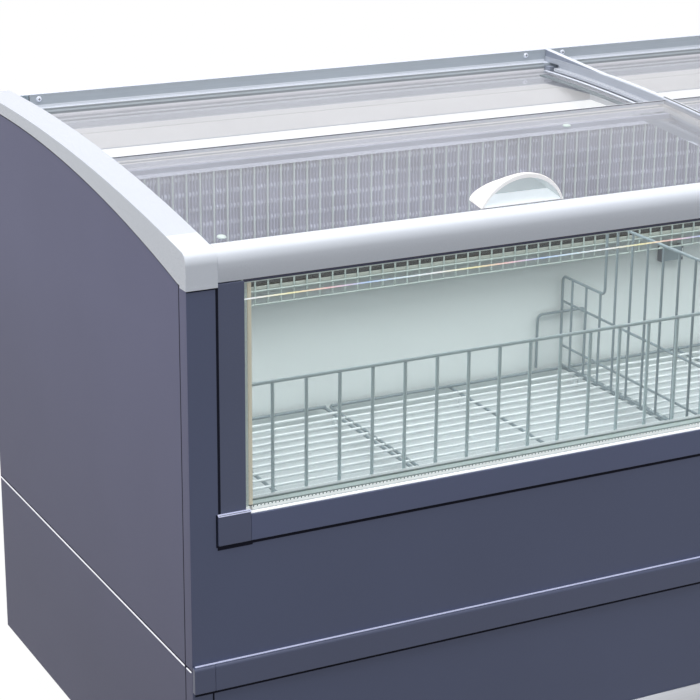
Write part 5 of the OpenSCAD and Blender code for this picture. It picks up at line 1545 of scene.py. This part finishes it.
@dataclass
class MachineBay:
    """The refrigeration set: compressor, condenser, fan, lines, drain and control box."""

    kit: Kit
    bay_z: float = 84.0
    compressor: Spot = (565.0, 65.0, 104.0)
    can_r: float = 90.0
    can_h: float = 176.0
    mount: float = 74.0
    fan_y: float = 5.0
    fan_z: float = 188.0
    fan_r: float = 86.0
    blades: int = 5
    control_y: float = 345.0
    gland_x: float = 765.0
    gland_z: float = 124.0
    box_x: Flat = (656.0, 814.0)
    box_z: Flat = (96.0, 248.0)
    marks: int = 8
    coil_fins: int = 72

    def build(self) -> None:
        """Dresses the refrigeration set."""
        self.compressor_set()
        self.condenser_set()
        self.fan_set()
        dress("refrigerant_lines", Looks.COPPER, 0.0)
        dress("drain_set", Looks.GREY, 0.6)
        self.control_set()

    def compressor_set(self) -> None:
        """The compressor's can with its seam, plate, mounts and terminal cover."""
        (x, y, z), r, h = self.compressor, self.can_r, self.can_h
        upright = Matrix.Identity(3)
        can = Piece("compressor_can", Looks.BLACK_STEEL)
        profile = [(0.0, 0.0), (r - 34, 0.0), (r - 14, 6.0), (r - 3, 20.0), (r, 40.0), (r, h * 0.52),
                   (r + 2.6, h * 0.53), (r + 2.6, h * 0.57), (r, h * 0.58), (r, h - 46), (r - 5, h - 24),
                   (r - 20, h - 8), (r - 48, h - 0.5), (0.0, h)]
        can.turned(profile, Vector(self.compressor), upright, 48)
        can.block((x - r, x + r), (y - r, y + r), (z - 4, z)).paint(Looks.BLACK_RUBBER)
        foot = [(0, 0), (16, 0), (16, 5), (12, 7), (12, 10), (15, 12), (15, 16), (0, 16)]
        for a, b in ((sx * self.mount, sy * self.mount) for sx in SIGNS for sy in SIGNS):
            can.turned(foot, Vector((x + a, y + b, self.bay_z)), upright, 20)
        front = y - r
        cover = [(x - 24, front - 12), (x + 24, front - 12), (x + 30, front + 12), (x - 30, front + 12)]
        can.paint(Looks.BLACK).loft([[Vector((*p, z + up)) for p in cover] for up in (62, 128)])
        can.done("steel_dark", "compressor")

    def condenser_set(self) -> None:
        """The condenser coil: fins between end plates on tube rows."""
        lo, hi = node_box("condenser_coil")
        mid = (lo + hi) / 2
        size = hi - lo
        fins = self.kit.row("condenser_fins", (mid.x, lo.y + 6, mid.z), (mid.x, hi.y - 6, mid.z),
                            self.coil_fins, (size.x - 4, 0.6, size.z - 4), Looks.FIN)
        on_body(fins, CABINET, "fin", "condenser_coil")
        lines, ends = [], (lo.y + 1, hi.y - 1)
        for x in (lo.x + 18, hi.x - 18):
            rows = enumerate(shares(lo.z + 18, hi.z - 18, 7))
            lines.append([(x, y, z) for k, z in rows for y in (ends if k % 2 == 0 else ends[::-1])])
        on_body(self.kit.wire("condenser_tubes", lines, 4.5, Looks.COPPER, 11.0), CABINET, "copper")
        plates = Piece("condenser_plates", Looks.ZINC)
        for y in (lo.y + 3, hi.y - 4.2):
            plates.block((lo.x, hi.x), (y, y + 1.2), (lo.z, hi.z))
        plates.done("base_steel", edge=0.3)

    def blade(self, share: float) -> list[Vector]:
        """A fan blade's outline at a share of its length.

        Args:
            share: 0 at the hub and 1 at the tip.

        Returns:
            The outline's points about the fan's axis.
        """
        radius = 20.5 + (self.fan_r - 21.0) * share
        lean = math.radians(48 - 24 * share)
        half = 21 + 13 * math.sin(math.pi * min(1, share * 0.75)) - 6 * share ** 4
        across, along = half * math.cos(lean), half * math.sin(lean) * 0.55
        places = shares(-1.0, 1.0, 4)
        ring = [Vector((radius, t * across, 13 + t * along + 2.2 * (1 - t * t))) for t in places]
        return ring + [p + Vector((0, 0, 1.6)) for p in reversed(ring)]

    def fan_set(self) -> None:
        """The fan's shroud, motor and twisted blades."""
        dress("fan_shroud", Looks.BLACK, 0.8)
        dress("fan_motor", Looks.ZINC, 2.0)
        lo, hi = node_box("condenser_fan")
        c, long = Vector((lo.x, self.fan_y, self.fan_z)), hi.x - lo.x
        turn = Matrix(((0, 0, 1), (0, 1, 0), (-1, 0, 0)))
        rotor = Piece("fan_rotor", Looks.GREY)
        rotor.turned([(0, 0), (19, 0), (21.5, 3), (21.5, 24), (18, 26), (0, 26)], c, turn, 32)
        for k in range(self.blades):
            spin = turn @ Matrix.Rotation(2 * math.pi * k / self.blades, 3, "Z")
            rotor.loft([[c + spin @ p for p in self.blade(share)] for share in shares(0.0, 1.0, 8)])
        rotor.paint(Looks.STEEL).turned([(0, 20), (4, 20), (4, long), (0, long)], c, turn, 16)
        rotor.done("plastic_grey", "condenser_fan", body="fan")

    def control_set(self) -> None:
        """The control box with its knob, switch, gland and the marks round the knob."""
        dress("control_box", Looks.GREY, 1.2)
        dress("thermostat_knob", Looks.BLACK, 1.0)
        dress("power_switch", Looks.RED, 0.6)
        lo, hi = node_box("thermostat_knob")
        y = self.control_y
        base = Vector(((lo.x + hi.x) / 2, y + 0.05, (lo.z + hi.z) / 2))
        marks = Piece("knob_marks", Looks.BLACK)
        for k, turn in enumerate(shares(-135, 135, self.marks - 1)):
            a = math.radians(turn)
            out, across = Vector((math.sin(a), 0, math.cos(a))), Vector((math.cos(a), 0, -math.sin(a)))
            near, far, wide = base + out * 22.0, base + out * (26.0 + 0.4 * k), across * (0.6 + 0.08 * k)
            ring = [near - wide, near + wide, far + wide, far - wide]
            marks.loft([ring, [p + Vector((0, 0.3, 0)) for p in ring]])
        marks.done("plastic_black")
        profile = [(5.2, -0.4), (13.5, -0.4), (13.5, 5), (11.5, 6), (11, 17.5), (9.6, 20.6), (5.2, 20.6)]
        Piece("lead_gland", Looks.BLACK).turned(
            profile, Vector((self.gland_x, y, self.gland_z)), Matrix(((1, 0, 0), (0, 0, 1), (0, -1, 0))),
            28).done("plastic_black")
        points = [(a, y + 0.1, b) for a in self.box_x for b in self.box_z]
        on_body(self.kit.screw("control_screws", points, 3.6, (0, 1, 0)), CABINET, "bumper")


@dataclass
class Studio:
    """The floor, the light and the camera."""

    eye: Spot = (-1.88376, -2.57168, 1.53633)
    yaw: float = 27.417
    pitch: float = 18.182
    roll: float = 0.440
    lens: float = 109.95
    sky: float = 0.3
    floor: float = 0.14
    floor_l: float = 14.0
    glow: float = 1.24

    def build(self) -> None:
        """Sets up the studio."""
        self.camera()
        self.world()
        self.ground()
        self.lamp("top_lamp", (-0.3, -0.1, 3.4), (0.0, 0.0, 0.6), (4.2, 3.2), 92.0)
        self.lamp("left_lamp", (-3.0, -0.6, 2.8), (0.0, 0.0, 0.7), (2.6, 1.8), 25.0)
        self.lamp("front_lamp", (-0.6, -4.6, 2.2), (0.0, 0.0, 0.5), (3.2, 2.4), 13.0)
        self.lamp("tub_lamp", (0.0, 0.06, 0.845), (0.0, 0.06, 0.3), (1.7, 0.24), 3.6)
        bpy.context.scene.view_settings.view_transform = "Standard"

    def camera(self) -> None:
        """The camera at the photograph's place."""
        data = bpy.data.cameras.new("camera")
        data.lens, data.sensor_width = self.lens, 36.0
        data.clip_start, data.clip_end = 0.05, 100.0
        camera = linked("camera", data)
        camera.matrix_world = Matrix.Translation(self.eye)
        for turn, axis in ((-self.yaw, "Z"), (90 - self.pitch, "X"), (self.roll, "Z")):
            camera.matrix_world = camera.matrix_world @ Matrix.Rotation(math.radians(turn), 4, axis)
        bpy.context.scene.camera = camera

    @staticmethod
    def seen(nodes: Nodes) -> Node:
        """1 for what the camera, a gloss or a pane sees, and 0 for light on the object.

        Args:
            nodes: the nodes to add to.

        Returns:
            The node with the share.
        """
        path = nodes.add("LightPath").outputs
        bounced = nodes.math("MAXIMUM", path["Is Glossy Ray"], path["Is Transmission Ray"])
        return nodes.math("MAXIMUM", path["Is Camera Ray"], bounced)

    def world(self) -> None:
        """A white surround to look at, and an even soft light."""
        world = bpy.data.worlds.new("surround")
        world.use_nodes = True
        nodes = Nodes(world.node_tree)
        white = nodes.add("Background", {"Color": (1.0, 1.0, 1.0, 1.0)})
        soft = nodes.add("Background", {"Color": (0.93, 0.98, 1.06, 1.0), "Strength": self.sky})
        nodes.add("OutputWorld", {"Surface": nodes.mix(self.seen(nodes), soft, white)})
        bpy.context.scene.world = world

    def ground(self) -> None:
        """A pale floor that keeps the shadow."""
        mesh = bpy.data.meshes.new("floor")
        size = self.floor_l
        mesh.from_pydata([(x, y, 0) for x, y in box2(-size, size, -size, size)], [], [(0, 1, 2, 3)])
        graph = Graph("floor_paint")
        matt = graph.add("BsdfDiffuse", {"Color": (self.floor, self.floor, self.floor, 1.0)})
        glow = graph.add("Emission", {"Color": (1.0, 1.0, 1.0, 1.0), "Strength": self.glow})
        share = graph.math("MULTIPLY", self.seen(graph), 0.8)
        mesh.materials.append(graph.close(graph.mix(share, matt, glow)))
        linked("floor", mesh)

    @staticmethod
    def lamp(name: str, place: Spot, aim: Spot, size: Flat, power: float) -> None:
        """A soft lamp.

        Args:
            name: the lamp's name.
            place: where it is.
            aim: where it points.
            size: its width and height.
            power: its power in watts.
        """
        data = bpy.data.lights.new(name, "AREA")
        data.shape, data.energy = "RECTANGLE", power
        data.size, data.size_y = size
        turn = (Vector(aim) - Vector(place)).to_track_quat("-Z", "Y").to_matrix().to_4x4()
        linked(name, data).matrix_world = Matrix.Translation(place) @ turn


def main() -> None:
    """Builds the studio and the freezer's pieces in order."""
    logging.basicConfig(level=logging.INFO, format="%(name)s: %(message)s")
    kit = Kit()
    lids = [Lid(side, sign) for side, sign in SIDES]
    for part in (Studio(), Cabinet(kit), FrontWindow(kit), TopFrame(kit), *lids, Interior(kit), Divider(kit),
                 MachineBay(kit)):
        part.build()


if __name__ == "__main__":
    main()
